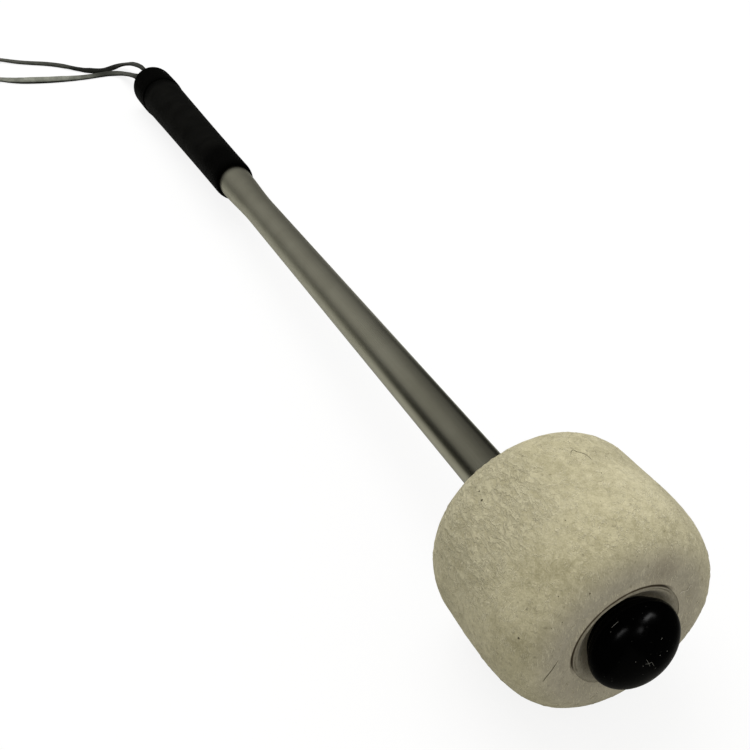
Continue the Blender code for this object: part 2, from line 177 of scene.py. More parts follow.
def evenly(points, spacing):
    """The same line with its points about that far apart."""
    lengths = [0.0]
    for a, b in zip(points, points[1:]):
        lengths.append(lengths[-1] + (b - a).length)
    count = max(2, round(lengths[-1] / spacing))
    even = []
    at = 0
    for step in range(count + 1):
        wanted = lengths[-1] * step / count
        while at < len(points) - 2 and lengths[at + 1] < wanted:
            at += 1
        run = max(lengths[at + 1] - lengths[at], 1e-9)
        even.append(points[at].lerp(points[at + 1], (wanted - lengths[at]) / run))
    return even


def resampled(outline, spacing):
    """An outline of (radius, z) with its points about that far apart."""
    line = evenly([Vector((r, z, 0.0)) for r, z in outline], spacing)
    return [(p.x, p.y) for p in line]


def arc(radius, z, across, along, count, power=2.0):
    """A quarter of a superellipse round (radius, z): from its end, along above z, to its side."""
    points = []
    for step in range(count):
        turn = math.radians(90.0 * step / (count - 1))
        x = math.sin(turn) ** (2.0 / power)
        y = max(math.cos(turn), 0.0) ** (2.0 / power)
        points.append((radius + across * x, z + along * y))
    return points


def off_axis(point):
    """How far a point lies from the mallet's axis."""
    return math.hypot(point.x, point.y)


def round_axis(radius, turn, z):
    """The point at that radius and height, turn radians round the mallet's axis."""
    return Vector((radius * math.cos(turn), radius * math.sin(turn), z))


# Pieces of the scene

def linked(name, data):
    """A new object at the origin, in the scene."""
    thing = bpy.data.objects.new(name, data)
    bpy.context.scene.collection.objects.link(thing)
    return thing


def mesh_from(bm, name):
    mesh = bpy.data.meshes.new(name)
    bm.to_mesh(mesh)
    bm.free()
    return mesh


def spun(outline, steps, closed=True):
    """A bmesh of the outline spun round the mallet's axis, in millimetres."""
    bm = bmesh.new()
    verts = [bm.verts.new((r, 0.0, z)) for r, z in outline]
    edges = [bm.edges.new(pair) for pair in zip(verts, verts[1:])]
    if closed:
        edges.append(bm.edges.new((verts[-1], verts[0])))
    bmesh.ops.spin(
        bm,
        geom=verts + edges,
        cent=(0.0, 0.0, 0.0),
        axis=UP,
        dvec=(0.0, 0.0, 0.0),
        angle=math.tau,
        steps=steps,
        use_merge=True,
        use_normal_flip=False,
        use_duplicate=False,
    )
    bmesh.ops.remove_doubles(bm, verts=bm.verts, dist=0.0005)
    bmesh.ops.recalc_face_normals(bm, faces=bm.faces)
    return bm


def finish_piece(bm, name, material, body, replaces=(), crease=35.0, matrix=TO_WORLD):
    """The bmesh becomes a shown piece that rides on a body."""
    bm.transform(matrix)
    mesh = mesh_from(bm, name)
    mesh.polygons.foreach_set("use_smooth", [True] * len(mesh.polygons))
    mesh.set_sharp_from_angle(angle=math.radians(crease))
    mesh.materials.append(material)
    piece = linked(name, mesh)
    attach(piece, body)
    if replaces:
        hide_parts(*replaces)
    return piece


def thread_line(name, lines, radius, material, body):
    """Fine fibres: every line is a tapering spline of one curve."""
    curve = bpy.data.curves.new(name, "CURVE")
    curve.dimensions = "3D"
    curve.bevel_depth = radius * MM
    curve.bevel_resolution = 0
    curve.use_fill_caps = True
    for points in lines:
        last = len(points) - 1
        spline = curve.splines.new("POLY")
        spline.points.add(last)
        for at, (target, point) in enumerate(zip(spline.points, points)):
            target.co = (*(TO_WORLD @ Vector(point)), 1.0)
            target.radius = 1.0 - 0.6 * abs(2.0 * at / last - 1.0) ** 2
    curve.materials.append(material)
    piece = linked(name, curve)
    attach(piece, body)
    return piece


# Shader helpers

FLOAT = "NodeSocketFloat"
VECTOR = "NodeSocketVector"


def rgb(r, g, b):
    return (r, g, b, 1.0)


def give(tree, socket, value):
    """A socket is joined to another or set to a plain value."""
    if isinstance(value, bpy.types.NodeSocket):
        tree.links.new(value, socket)
    else:
        socket.default_value = value


def wire(tree, kind, inputs=None, **settings):
    """A node with its settings, and each named input given its value."""
    node = tree.nodes.new(kind)
    for key, value in settings.items():
        setattr(node, key, value)
    for key, value in (inputs or {}).items():
        give(tree, node.inputs[key], value)
    return node


def maths(tree, operation, *values):
    return wire(tree, "ShaderNodeMath", inputs=dict(enumerate(values)), operation=operation).outputs[0]


def times(tree, a, b):
    return maths(tree, "MULTIPLY", a, b)


def plus(tree, a, b):
    return maths(tree, "ADD", a, b)


def added(tree, total, *parts):
    """total plus each part's value times its share."""
    for value, share in parts:
        total = plus(tree, total, times(tree, value, share))
    return total


def vectors(tree, operation, *values):
    """Vector maths: a length, distance or dot product comes out as one number."""
    node = wire(tree, "ShaderNodeVectorMath", inputs=dict(enumerate(values)), operation=operation)
    single = operation in ("LENGTH", "DISTANCE", "DOT_PRODUCT")
    return node.outputs["Value" if single else "Vector"]


def split(tree, vector):
    """The x, y and z of a vector."""
    return wire(tree, "ShaderNodeSeparateXYZ", inputs={"Vector": vector}).outputs


def ramped(tree, value, low, high, to_low=0.0, to_high=1.0):
    """value carried smoothly from low..high to to_low..to_high."""
    ends = {"From Min": low, "From Max": high, "To Min": to_low, "To Max": to_high}
    inputs = {"Value": value, **ends}
    return wire(tree, "ShaderNodeMapRange", inputs=inputs, interpolation_type="SMOOTHSTEP").outputs[0]


def tinted(tree, share, first, second):
    """first where share is 0 and second where it is 1."""
    inputs = {0: share, 6: first, 7: second}
    return wire(tree, "ShaderNodeMix", inputs=inputs, data_type="RGBA").outputs[2]


def stained(tree, colour, mask, share, stain):
    """The colour with a stain over it, which takes at most that share where mask is 1."""
    return tinted(tree, times(tree, mask, share), colour, stain)


def cloudy(tree, vector, scale, detail, roughness=0.55, distortion=0.0):
    """Soft cloudy grey."""
    texture = {"Scale": scale, "Detail": detail, "Roughness": roughness, "Distortion": distortion}
    return wire(tree, "ShaderNodeTexNoise", inputs={"Vector": vector, **texture}).outputs[0]


def swaying(tree, vector, scale):
    """Three cloudy values in one, to push a place about by."""
    inputs = {"Vector": vector, "Scale": scale, "Detail": 2.0}
    return wire(tree, "ShaderNodeTexNoise", inputs=inputs).outputs["Color"]


def cells(tree, vector, size):
    """Cells strewn at random: the distance from the nearest middle, and a colour for each cell."""
    inputs = {"Vector": vector, "Scale": size, "Randomness": 1.0}
    return wire(tree, "ShaderNodeTexVoronoi", inputs=inputs).outputs


def strewn(tree, vector, size, fade, channel, chosen):
    """A round speck in some of the cells: fade is where it ends, chosen the pick by that channel."""
    found = cells(tree, vector, size)
    speck = ramped(tree, found["Distance"], *fade, 1.0, 0.0)
    colour = wire(tree, "ShaderNodeSeparateColor", inputs={"Color": found["Color"]})
    return times(tree, speck, ramped(tree, colour.outputs[channel], *chosen))


def stretched_spots(tree, vector, angles, squeeze, size, low, high):
    """Long thin spots that all run one way: 1 on a spot and 0 off it."""
    turn = [math.radians(a) for a in angles]
    inputs = {"Vector": vector, "Rotation": turn, "Scale": squeeze}
    turned = wire(tree, "ShaderNodeMapping", inputs=inputs).outputs[0]
    return ramped(tree, cells(tree, turned, size)["Distance"], low, high, 1.0, 0.0)


def object_space(tree):
    return wire(tree, "ShaderNodeTexCoord").outputs["Object"]


def mallet_space(tree):
    """Object coordinates turned into the mallet's own frame, in millimetres."""
    place = {"Location": FACE, "Rotation": (0.0, math.pi / 2 - TILT, 0.0), "Scale": (MM, MM, MM)}
    inputs = {"Vector": object_space(tree), **place}
    return wire(tree, "ShaderNodeMapping", inputs=inputs, vector_type="TEXTURE").outputs[0]


def flat_place(tree, where):
    """The way from the mallet's axis straight out to a place."""
    return vectors(tree, "MULTIPLY", where, (1.0, 1.0, 0.0))


def facing(tree, where, degrees):
    """1 on the side of the mallet that faces that way round its axis, 0 a quarter turn on, -1 behind."""
    outward = vectors(tree, "NORMALIZE", flat_place(tree, where))
    turn = math.radians(degrees)
    return vectors(tree, "DOT_PRODUCT", outward, (math.cos(turn), math.sin(turn), 0.0))


def ring_open(tree, where):
    """1 where the groove round the disc shows and 0 where the felt closes over it."""
    return ramped(tree, facing(tree, where, RING_MIDDLE), *RING_SHOWS)


# Shader groups that several materials use

def new_group(name, inputs, outputs):
    group = bpy.data.node_groups.new(name, "ShaderNodeTree")
    for label, kind, default in inputs:
        socket = group.interface.new_socket(label, in_out="INPUT", socket_type=kind)
        if default is not None:
            socket.default_value = default
    for label, kind in outputs:
        group.interface.new_socket(label, in_out="OUTPUT", socket_type=kind)
    entry = group.nodes.new("NodeGroupInput")
    leave = group.nodes.new("NodeGroupOutput")
    return group, entry.outputs, leave.inputs


def use(tree, group, inputs):
    """The outputs of a group placed in a tree with its own values."""
    return wire(tree, "ShaderNodeGroup", inputs=inputs, node_tree=group).outputs


def make_wool_group():
    """Pressed wool: soft blotches, mottling, short pale fibres and dark flecks, in millimetres."""
    group, given, out = new_group(
        "pressed_wool",
        [("Vector", VECTOR, None), ("Fibre Share", FLOAT, 0.5), ("Fleck Share", FLOAT, 0.5)],
        [("Blotch", FLOAT), ("Mottle", FLOAT), ("Fibre", FLOAT), ("Fleck", FLOAT), ("Height", FLOAT)],
    )
    where = given["Vector"]
    bent = vectors(group, "MULTIPLY", swaying(group, where, 0.55), (1.5, 1.5, 1.5))
    strands = vectors(group, "ADD", where, bent)
    blotch = cloudy(group, where, 0.11, 3.0, 0.5, 0.4)
    mottle = cloudy(group, where, 0.75, 4.0, 0.62, 0.5)
    grain = cloudy(group, where, 3.1, 3.0, 0.6)
    layers = []
    for angles, squeeze, size in (
        ((20, 35, 10), (0.32, 2.2, 2.2), 0.9),
        ((75, -20, 60), (0.30, 2.4, 2.4), 1.0),
        ((-40, 60, 115), (0.36, 2.0, 2.0), 0.85),
        ((10, -70, 150), (0.28, 2.6, 2.6), 1.1),
    ):
        layers.append(stretched_spots(group, strands, angles, squeeze, size, 0.08, 0.36))
    fibre = layers[0]
    for layer in layers[1:]:
        fibre = maths(group, "MAXIMUM", fibre, layer)
    patchy = ramped(group, cloudy(group, where, 0.42, 2.0), 0.38, 0.62)
    fibre = times(group, fibre, plus(group, times(group, patchy, 0.75), 0.25))
    fibre = times(group, fibre, given["Fibre Share"])
    fleck = strewn(group, strands, 0.62, (0.07, 0.2), 0, (0.62, 0.8))
    fleck = times(group, fleck, given["Fleck Share"])
    give(group, out["Blotch"], blotch)
    give(group, out["Mottle"], added(group, times(group, mottle, 0.6), (grain, 0.4)))
    give(group, out["Fibre"], fibre)
    give(group, out["Fleck"], fleck)
    height = added(group, times(group, mottle, 0.55), (grain, 0.35), (fibre, 0.35), (fleck, -0.2))
    give(group, out["Height"], height)
    return group


def make_scratch_group():
    """Hairline scratches in three directions, in millimetres."""
    group, given, out = new_group(
        "hairlines",
        [("Vector", VECTOR, None), ("Length", FLOAT, 1.0), ("Share", FLOAT, 0.5)],
        [("Mask", FLOAT)],
    )
    inputs = {0: given["Vector"], "Scale": given["Length"]}
    sized = wire(group, "ShaderNodeVectorMath", inputs=inputs, operation="SCALE").outputs[0]
    lines = None
    for angles in ((15, 40, 5), (80, 10, 70), (-35, 75, 130)):
        one = stretched_spots(group, sized, angles, (0.16, 3.4, 3.4), 1.0, 0.0, 0.085)
        lines = one if lines is None else maths(group, "MAXIMUM", lines, one)
    worn = ramped(group, cloudy(group, sized, 0.35, 2.0), 0.42, 0.6)
    give(group, out["Mask"], times(group, times(group, lines, worn), given["Share"]))
    return group


def make_dust_group():
    """Scattered dust specks with a faint haze between them, in millimetres."""
    group, given, out = new_group(
        "dust",
        [("Vector", VECTOR, None), ("Speck Size", FLOAT, 1.0), ("Share", FLOAT, 0.5)],
        [("Speck", FLOAT), ("Haze", FLOAT)],
    )
    speck = strewn(group, given["Vector"], given["Speck Size"], (0.05, 0.13), 1, (0.66, 0.76))
    give(group, out["Speck"], times(group, speck, given["Share"]))
    give(group, out["Haze"], ramped(group, cloudy(group, given["Vector"], 0.3, 4.0, 0.6), 0.35, 0.75))
    return group


def make_drawn_group():
    """Fine lines that all run one way, on drawn metal, worn felt and wood: Squeeze sets the way."""
    group, given, out = new_group(
        "drawn_lines",
        [("Vector", VECTOR, None), ("Squeeze", VECTOR, (1.0, 1.0, 1.0))],
        [("Lines", FLOAT), ("Cloud", FLOAT)],
    )
    squeezed = vectors(group, "MULTIPLY", given["Vector"], given["Squeeze"])
    give(group, out["Lines"], cloudy(group, squeezed, 1.0, 4.0, 0.65))
    give(group, out["Cloud"], cloudy(group, given["Vector"], 0.09, 3.0, 0.55, 0.3))
    return group


WOOL = make_wool_group()
HAIRLINES = make_scratch_group()
DUST = make_dust_group()
DRAWN_LINES = make_drawn_group()


# Materials

def start_material(name, **sockets):
    """A material with a Principled surface; plain values go straight on its own sockets."""
    material = bpy.data.materials.new(name)
    material.use_nodes = True
    tree = material.node_tree
    surface = tree.nodes["Principled BSDF"]
    for key, value in sockets.items():
        surface.inputs[key.replace("_", " ")].default_value = value
    return material, tree, surface


def raised(tree, surface, height, distance):
    """A fine relief: height 1 stands distance metres above height 0."""
    bump = wire(tree, "ShaderNodeBump", inputs={"Height": height, "Distance": distance, "Strength": 1.0})
    give(tree, surface.inputs["Normal"], bump.outputs[0])


def worn_streaks_with_painted_light(tree, where, z):
    """Where the felt is worn on one side, and its raised streaks there, painted pale as highlight on the
    ridges, with painted shade in the valleys between.
    """
    behind_face = ramped(tree, z, -6.0, -16.0)
    worn = times(tree, ramped(tree, facing(tree, where, WORN_SIDE), 0.72, 0.94), behind_face)
    swayed = vectors(tree, "MULTIPLY_ADD", swaying(tree, where, 0.38), (2.2, 2.2, 2.2), where)
    lines = use(tree, DRAWN_LINES, {"Vector": swayed, "Squeeze": (1.4, 1.4, 0.32)})["Lines"]
    # painted highlight on the raised streaks, which the bump also raises, and painted shade in the valleys
    # between them
    ridge_highlight = times(tree, ramped(tree, lines, 0.40, 0.60), worn)
    valley_shade = times(tree, ramped(tree, lines, 0.50, 0.36), worn)
    return worn, ridge_highlight, valley_shade


def make_felt_material():
    """Cream pressed wool: greyer round the front face as painted shade, streaked where worn with painted
    highlight and shade, with painted shade at the open groove and in a patch near it.
    """
    material, tree, surface = start_material(
        "felt_wool", Roughness=0.95, Sheen_Weight=0.12, Sheen_Roughness=0.6, Specular_IOR_Level=0.15
    )
    where = mallet_space(tree)
    wool = use(tree, WOOL, {"Vector": where, "Fibre Share": 0.8, "Fleck Share": 0.55})
    z = split(tree, where)["Z"]
    radius = vectors(tree, "LENGTH", flat_place(tree, where))
    tone = added(tree, times(tree, wool["Blotch"], 0.35), (wool["Mottle"], 0.75))
    tone = ramped(tree, tone, 0.36, 0.74)
    colour = tinted(tree, tone, rgb(0.37, 0.335, 0.20), rgb(0.64, 0.59, 0.39))
    worn, ridge_highlight, valley_shade = worn_streaks_with_painted_light(tree, where, z)
    colour = stained(tree, colour, worn, 0.35, rgb(0.46, 0.42, 0.265))
    # painted highlight on the worn streaks and painted shade in their valleys
    colour = stained(tree, colour, ridge_highlight, 0.35, rgb(0.64, 0.60, 0.42))
    colour = stained(tree, colour, valley_shade, 0.28, rgb(0.29, 0.26, 0.16))
    # painted shade: the front face, which turns away from the light, is painted greyer and darker
    front = times(tree, ramped(tree, z, -5.0, -0.3), ramped(tree, radius, 21.0, 14.0))
    grey = tinted(tree, tone, rgb(0.37, 0.335, 0.255), rgb(0.44, 0.40, 0.31))
    colour = stained(tree, colour, front, 0.85, grey)
    # painted shade: a soft dark patch on the face near the groove
    painted_shade = ramped(tree, vectors(tree, "DISTANCE", where, SHADED_PATCH), 5.2, 0.8)
    colour = stained(tree, colour, painted_shade, 0.55, rgb(0.28, 0.24, 0.17))
    colour = stained(tree, colour, wool["Fibre"], 0.7, rgb(0.74, 0.69, 0.50))
    colour = stained(tree, colour, wool["Fleck"], 0.75, rgb(0.15, 0.13, 0.07))
    # painted shade in the open groove, on the lip of the recess
    rim = times(tree, ramped(tree, radius, 11.6, 11.4), ring_open(tree, where))
    rim = times(tree, rim, ramped(tree, z, -5.0, -4.0))
    colour = stained(tree, colour, rim, 0.85, rgb(0.075, 0.055, 0.03))
    give(tree, surface.inputs["Base Color"], colour)
    raised(tree, surface, added(tree, wool["Height"], (ridge_highlight, 0.48)), 0.00033)
    return material


def make_disc_material():
    """The greyer felt disc under the cap, with painted shade as a dark line on each side of its pressed bead,
    and darker towards the cap as painted shade with some dirt.
    """
    material, tree, surface = start_material(
        "disc_felt", Roughness=0.9, Sheen_Weight=0.08, Specular_IOR_Level=0.2
    )
    where = mallet_space(tree)
    wool = use(tree, WOOL, {"Vector": where, "Fibre Share": 0.4, "Fleck Share": 0.9})
    tone = ramped(tree, wool["Mottle"], 0.3, 0.7)
    colour = tinted(tree, tone, rgb(0.25, 0.225, 0.165), rgb(0.36, 0.33, 0.25))
    radius = vectors(tree, "LENGTH", flat_place(tree, where))
    # painted shade of the groove: a dark line on each side of the pressed bead, where the groove is open
    outer_groove_shade = ramped(tree, radius, 10.84, 10.92)
    inner_groove_shade = times(tree, ramped(tree, radius, 10.30, 10.36), ramped(tree, radius, 10.52, 10.46))
    lines = maths(tree, "MAXIMUM", outer_groove_shade, times(tree, inner_groove_shade, 0.8))
    lines = times(tree, lines, ring_open(tree, where))
    # painted shade from the cap's overhang, with some dirt: darker towards the middle
    painted_cap_shade = ramped(tree, radius, 10.0, 8.4)
    colour = stained(tree, colour, painted_cap_shade, 0.55, rgb(0.10, 0.08, 0.045))
    colour = stained(tree, colour, wool["Fleck"], 0.7, rgb(0.10, 0.085, 0.06))
    colour = stained(tree, colour, wool["Fibre"], 0.35, rgb(0.46, 0.42, 0.34))
    colour = stained(tree, colour, lines, 0.92, rgb(0.07, 0.048, 0.022))
    give(tree, surface.inputs["Base Color"], colour)
    raised(tree, surface, wool["Height"], 0.00022)
    return material


def make_fibre_material(name, dark, light):
    """Loose fibres: each varies a little along its length."""
    material, tree, surface = start_material(name, Roughness=0.8, Specular_IOR_Level=0.25)
    tone = ramped(tree, cloudy(tree, mallet_space(tree), 0.6, 2.0), 0.3, 0.7)
    give(tree, surface.inputs["Base Color"], tinted(tree, tone, dark, light))
    return material


def make_aluminium_material():
    """Satin drawn tube with a warm grey cast, duller towards the hand, with painted shade from the grip
    darkening it at the grip's mouth.
    """
    material, tree, surface = start_material("satin_aluminium", Metallic=1.0)
    where = mallet_space(tree)
    drawn = use(tree, DRAWN_LINES, {"Vector": where, "Squeeze": (5.5, 5.5, 0.03)})
    scratches = use(tree, HAIRLINES, {"Vector": where, "Length": 0.5, "Share": 0.6})
    along = split(tree, where)["Z"]
    hand = ramped(tree, along, -40.0, -215.0)
    tone = added(tree, times(tree, drawn["Lines"], 0.5), (drawn["Cloud"], 0.5))
    tone = ramped(tree, tone, 0.35, 0.65)
    colour = tinted(tree, tone, rgb(0.575, 0.56, 0.44), rgb(0.665, 0.65, 0.52))
    # painted shade: the grip's contact shadow on the tube at its mouth
    painted_shade = ramped(tree, along, -223.5, -228.5)
    colour = stained(tree, colour, painted_shade, 0.85, rgb(0.03, 0.029, 0.022))
    give(tree, surface.inputs["Base Color"], colour)
    rough = added(tree, 0.17, (hand, 0.20), (drawn["Lines"], 0.08), (scratches["Mask"], 0.12))
    give(tree, surface.inputs["Roughness"], rough)
    raised(tree, surface, drawn["Lines"], 0.00001)
    return material


def make_metal_material(name, dark, light, roughness):
    """Machined metal with turning lines."""
    material, tree, surface = start_material(name, Metallic=1.0)
    where = mallet_space(tree)
    turned = use(tree, DRAWN_LINES, {"Vector": where, "Squeeze": (0.7, 0.7, 6.0)})
    tone = ramped(tree, turned["Lines"], 0.3, 0.7)
    give(tree, surface.inputs["Base Color"], tinted(tree, tone, dark, light))
    give(tree, surface.inputs["Roughness"], added(tree, roughness, (turned["Cloud"], 0.2)))
    raised(tree, surface, turned["Lines"], 0.00001)
    return material


def make_rubber_material(name, dark, light, roughness, dust_share, gloss):
    """Satin black rubber with a fine skin and a little dust; painted shade makes it blackest near the mouth,
    and it is blackest too towards the butt.
    """
    material, tree, surface = start_material(name, Specular_IOR_Level=gloss)
    where = mallet_space(tree)
    dust = use(tree, DUST, {"Vector": where, "Speck Size": 0.8, "Share": dust_share})
    skin = cloudy(tree, where, 2.6, 4.0, 0.6)
    tone = ramped(tree, cloudy(tree, where, 0.12, 3.0), 0.3, 0.7)
    colour = tinted(tree, tone, dark, light)
    along = split(tree, where)["Z"]
    # painted shade near the grip's mouth; towards the butt the rubber is also made blackest
    ends = maths(tree, "MAXIMUM", ramped(tree, along, -254.0, -242.0), ramped(tree, along, -331.0, -337.5))
    colour = tinted(tree, ends, colour, rgb(0.0007, 0.0007, 0.0005))
    colour = stained(tree, colour, dust["Speck"], 0.35, rgb(0.10, 0.097, 0.088))
    give(tree, surface.inputs["Base Color"], colour)
    give(tree, surface.inputs["Roughness"], added(tree, roughness, (skin, 0.12), (dust["Haze"], 0.06)))
    raised(tree, surface, skin, 0.00004)
    return material


def make_cap_material():
    """Glossy black moulding with hairline scratches and dust."""
    material, tree, surface = start_material("cap_black", Specular_IOR_Level=0.04)
    where = mallet_space(tree)
    scratches = use(tree, HAIRLINES, {"Vector": where, "Length": 1.0, "Share": 1.0})
    dust = use(tree, DUST, {"Vector": where, "Speck Size": 0.95, "Share": 0.9})
    specks = times(tree, dust["Speck"], 0.5)
    marks = maths(tree, "MAXIMUM", times(tree, scratches["Mask"], 0.35), specks)
    colour = tinted(tree, marks, rgb(0.0006, 0.0006, 0.0006), rgb(0.03, 0.029, 0.026))
    give(tree, surface.inputs["Base Color"], colour)
    rough = added(tree, 0.14, (dust["Haze"], 0.06), (scratches["Mask"], 0.25))
    give(tree, surface.inputs["Roughness"], rough)
    raised(tree, surface, cloudy(tree, where, 0.22, 2.0), 0.00009)
    return material


def make_thong_material():
    """Dark grey-olive leather lace, with a painted sheen that makes its upper side paler."""
    material, tree, surface = start_material("thong_leather", Specular_IOR_Level=0.15)
    in_mm = {"Vector": object_space(tree), "Scale": (1000.0, 1000.0, 1000.0)}
    where = wire(tree, "ShaderNodeMapping", inputs=in_mm).outputs[0]
    pores = cells(tree, where, 2.4)["Distance"]
    # the worn attribute carries painted sheen: how much paler the upper side is painted
    worn = wire(tree, "ShaderNodeAttribute", attribute_name="worn", attribute_type="GEOMETRY").outputs["Fac"]
    cloud = ramped(tree, cloudy(tree, where, 0.25, 3.0, 0.6), 0.3, 0.7)
    hide = tinted(tree, cloud, rgb(0.005, 0.0055, 0.004), rgb(0.013, 0.014, 0.0105))
    sheen_colour = tinted(tree, cloud, rgb(0.19, 0.20, 0.165), rgb(0.30, 0.31, 0.26))
    colour = tinted(tree, worn, hide, sheen_colour)
    dust = use(tree, DUST, {"Vector": where, "Speck Size": 1.1, "Share": 0.4})
    colour = stained(tree, colour, dust["Speck"], 0.4, rgb(0.2, 0.19, 0.16))
    give(tree, surface.inputs["Base Color"], colour)
    give(tree, surface.inputs["Roughness"], added(tree, 0.42, (cloud, 0.1)))
    raised(tree, surface, pores, 0.00005)
    return material


def make_wood_material():
    """Turned hardwood core: growth rings and a fine grain along the mallet."""
    material, tree, surface = start_material("core_hardwood", Roughness=0.55)
    where = mallet_space(tree)
    inputs = {"Vector": where, "Scale": 0.35, "Distortion": 3.5, "Detail": 3.0}
    rings = wire(tree, "ShaderNodeTexWave", inputs=inputs, bands_direction="X").outputs["Fac"]
    grain = use(tree, DRAWN_LINES, {"Vector": where, "Squeeze": (4.0, 4.0, 0.25)})["Lines"]
    tone = added(tree, times(tree, rings, 0.5), (grain, 0.5))
    colour = tinted(tree, tone, rgb(0.36, 0.22, 0.11), rgb(0.62, 0.44, 0.25))
    give(tree, surface.inputs["Base Color"], colour)
    raised(tree, surface, grain, 0.00005)
    return material


FELT = make_felt_material()
DISC = make_disc_material()
PALE_FIBRE = make_fibre_material("pale_fibres", rgb(0.50, 0.46, 0.31), rgb(0.72, 0.67, 0.50))
DARK_FIBRE = make_fibre_material("dark_fibres", rgb(0.07, 0.06, 0.035), rgb(0.16, 0.14, 0.09))
HAIR = make_fibre_material("loose_hair", rgb(0.08, 0.07, 0.04), rgb(0.18, 0.16, 0.10))
WHITE_FIBRE = make_fibre_material("white_thread", rgb(0.68, 0.64, 0.52), rgb(0.82, 0.79, 0.68))
LINT = make_fibre_material("lint", rgb(0.09, 0.087, 0.078), rgb(0.19, 0.184, 0.166))
ALUMINIUM = make_aluminium_material()
STEEL = make_metal_material("machined_steel", rgb(0.42, 0.42, 0.43), rgb(0.60, 0.60, 0.61), 0.25)
BRASS = make_metal_material("machined_brass", rgb(0.58, 0.42, 0.17), rgb(0.74, 0.57, 0.27), 0.22)
GRIP_RUBBER = make_rubber_material(
    "grip_rubber",
    rgb(0.0032, 0.0032, 0.0027),
    rgb(0.0050, 0.0050, 0.0043),
    roughness=0.45,
    dust_share=0.06,
    gloss=0.012,
)
BUTT_RUBBER = make_rubber_material(
    "butt_rubber",
    rgb(0.0008, 0.0009, 0.0007),
    rgb(0.0018, 0.0018, 0.0015),
    roughness=0.40,
    dust_share=0.05,
    gloss=0.004,
)
CAP_BLACK = make_cap_material()
THONG = make_thong_material()
HARDWOOD = make_wood_material()


# Felt head

def head_outline():
    """The felt's outer line from the lip of its recess to the flat round the shaft."""
    front = arc(
        FACE_RADIUS, -FRONT_DEPTH, HEAD_RADIUS - FACE_RADIUS, FRONT_DEPTH, count=90, power=FRONT_POWER
    )
    back = arc(HEAD_RADIUS - BACK_ROUND, BACK_ROUND - HEAD_LENGTH, BACK_ROUND, -BACK_ROUND, count=40)
    return front + back[::-1]


HEAD_LINE = [Vector((r, z, 0.0)) for r, z in resampled(head_outline(), LINE_STEP)]


def head_radius(z):
    """Radius of the felt at z, on the part of the outline that faces outward."""
    for a, b in zip(HEAD_LINE, HEAD_LINE[1:]):
        if b.y <= z <= a.y and a.y - b.y > 1e-6:
            return a.x + (b.x - a.x) * (a.y - z) / (a.y - b.y)
    return HEAD_LINE[0].x


def felt_swell(point):
    """How far the felt stands in or out at a point, in millimetres: lumps, pills and a pressed dish."""
    slow = noise.noise(point * 0.07 + Vector((3.1, 1.7, 8.2)))
    lumps = noise.fractal(point * 0.3, 0.9, 2.1, 3)
    pills = noise.fractal(point * 1.3 + Vector((9.0, 2.0, 5.0)), 0.8, 2.0, 2)
    dish = 0.0
    if point.z > FRONT_ZONE:
        dish = -DISH_DEPTH * math.exp(-(((off_axis(point) - DISH_RADIUS) / DISH_WIDTH) ** 2))
    return 0.16 * slow + 0.045 * lumps + 0.012 * pills + dish


def ring_closed(vert):
    """1 where the felt closes over the disc and 0 where the groove between them shows."""
    turn = math.degrees(math.atan2(vert.co.y, vert.co.x))
    from_middle = abs((turn - RING_MIDDLE + 180.0) % 360.0 - 180.0)
    return smooth(from_middle, *RING_CLOSES)


def roughen_felt(bm):
    """The outer skin swells in and out, but for the walls and edges of the holes."""
    bm.normal_update()
    moves = []
    for vert in bm.verts:
        radius, z = off_axis(vert.co), vert.co.z
        on_side = radius > head_radius(z) - 0.05
        on_end = z > -0.02 or z < 0.02 - HEAD_LENGTH
        if not (on_side or on_end) or radius < SHAFT_HOLE + 0.1:
            continue
        ease = clamped((radius - SHAFT_HOLE) / 1.5)
        if z > FRONT_ZONE and radius < 12.2:
            ease = clamped((radius - RECESS_RADIUS - 0.05) / 0.8)
        moves.append((vert, vert.normal * felt_swell(vert.co) * ease))
    for vert, move in moves:
        vert.co += move


def close_ring(bm):
    """The lip of the recess leans in over the disc where the groove doesn't show."""
    for vert in bm.verts:
        radius = off_axis(vert.co)
        if vert.co.z > -1.0 and radius < RECESS_RADIUS + 0.35:
            snug = RECESS_RADIUS - LIP_REACH * ring_closed(vert)
            factor = max(radius + snug - RECESS_RADIUS, snug) / radius
            vert.co.x *= factor
            vert.co.y *= factor


def press_on_surface(bm):
    """What would go below the surface is pressed flat on it."""
    from_world = TO_WORLD.inverted()
    for vert in bm.verts:
        world = TO_WORLD @ vert.co
        if world.z < SURFACE_LIFT:
            world.z = SURFACE_LIFT
            vert.co = from_world @ world


def make_felt_head():
    core_back = BACK_FELT - HEAD_LENGTH
    outline = [(RECESS_RADIUS, z) for z in (RECESS_FLOOR, -1.6, -0.9, -0.3)]
    outline += resampled(head_outline(), SKIN_STEP)
    flat_back = [(HEAD_RADIUS - BACK_ROUND, -HEAD_LENGTH), (SHAFT_HOLE + HOLE_EDGE, -HEAD_LENGTH)]
    outline += resampled(flat_back, 0.5)[1:]
    outline += [
        (SHAFT_HOLE, -HEAD_LENGTH + HOLE_EDGE),
        (SHAFT_HOLE, core_back),
        (CORE_HOLE, core_back),
        (CORE_HOLE, RECESS_FLOOR),
    ]
    bm = spun(outline, steps=336)
    roughen_felt(bm)
    close_ring(bm)
    press_on_surface(bm)
    piece = finish_piece(bm, "felt_barrel", FELT, "mallet", ["felt_head"], crease=60.0)
    return piece


# Fibres, hair and chaff on the felt

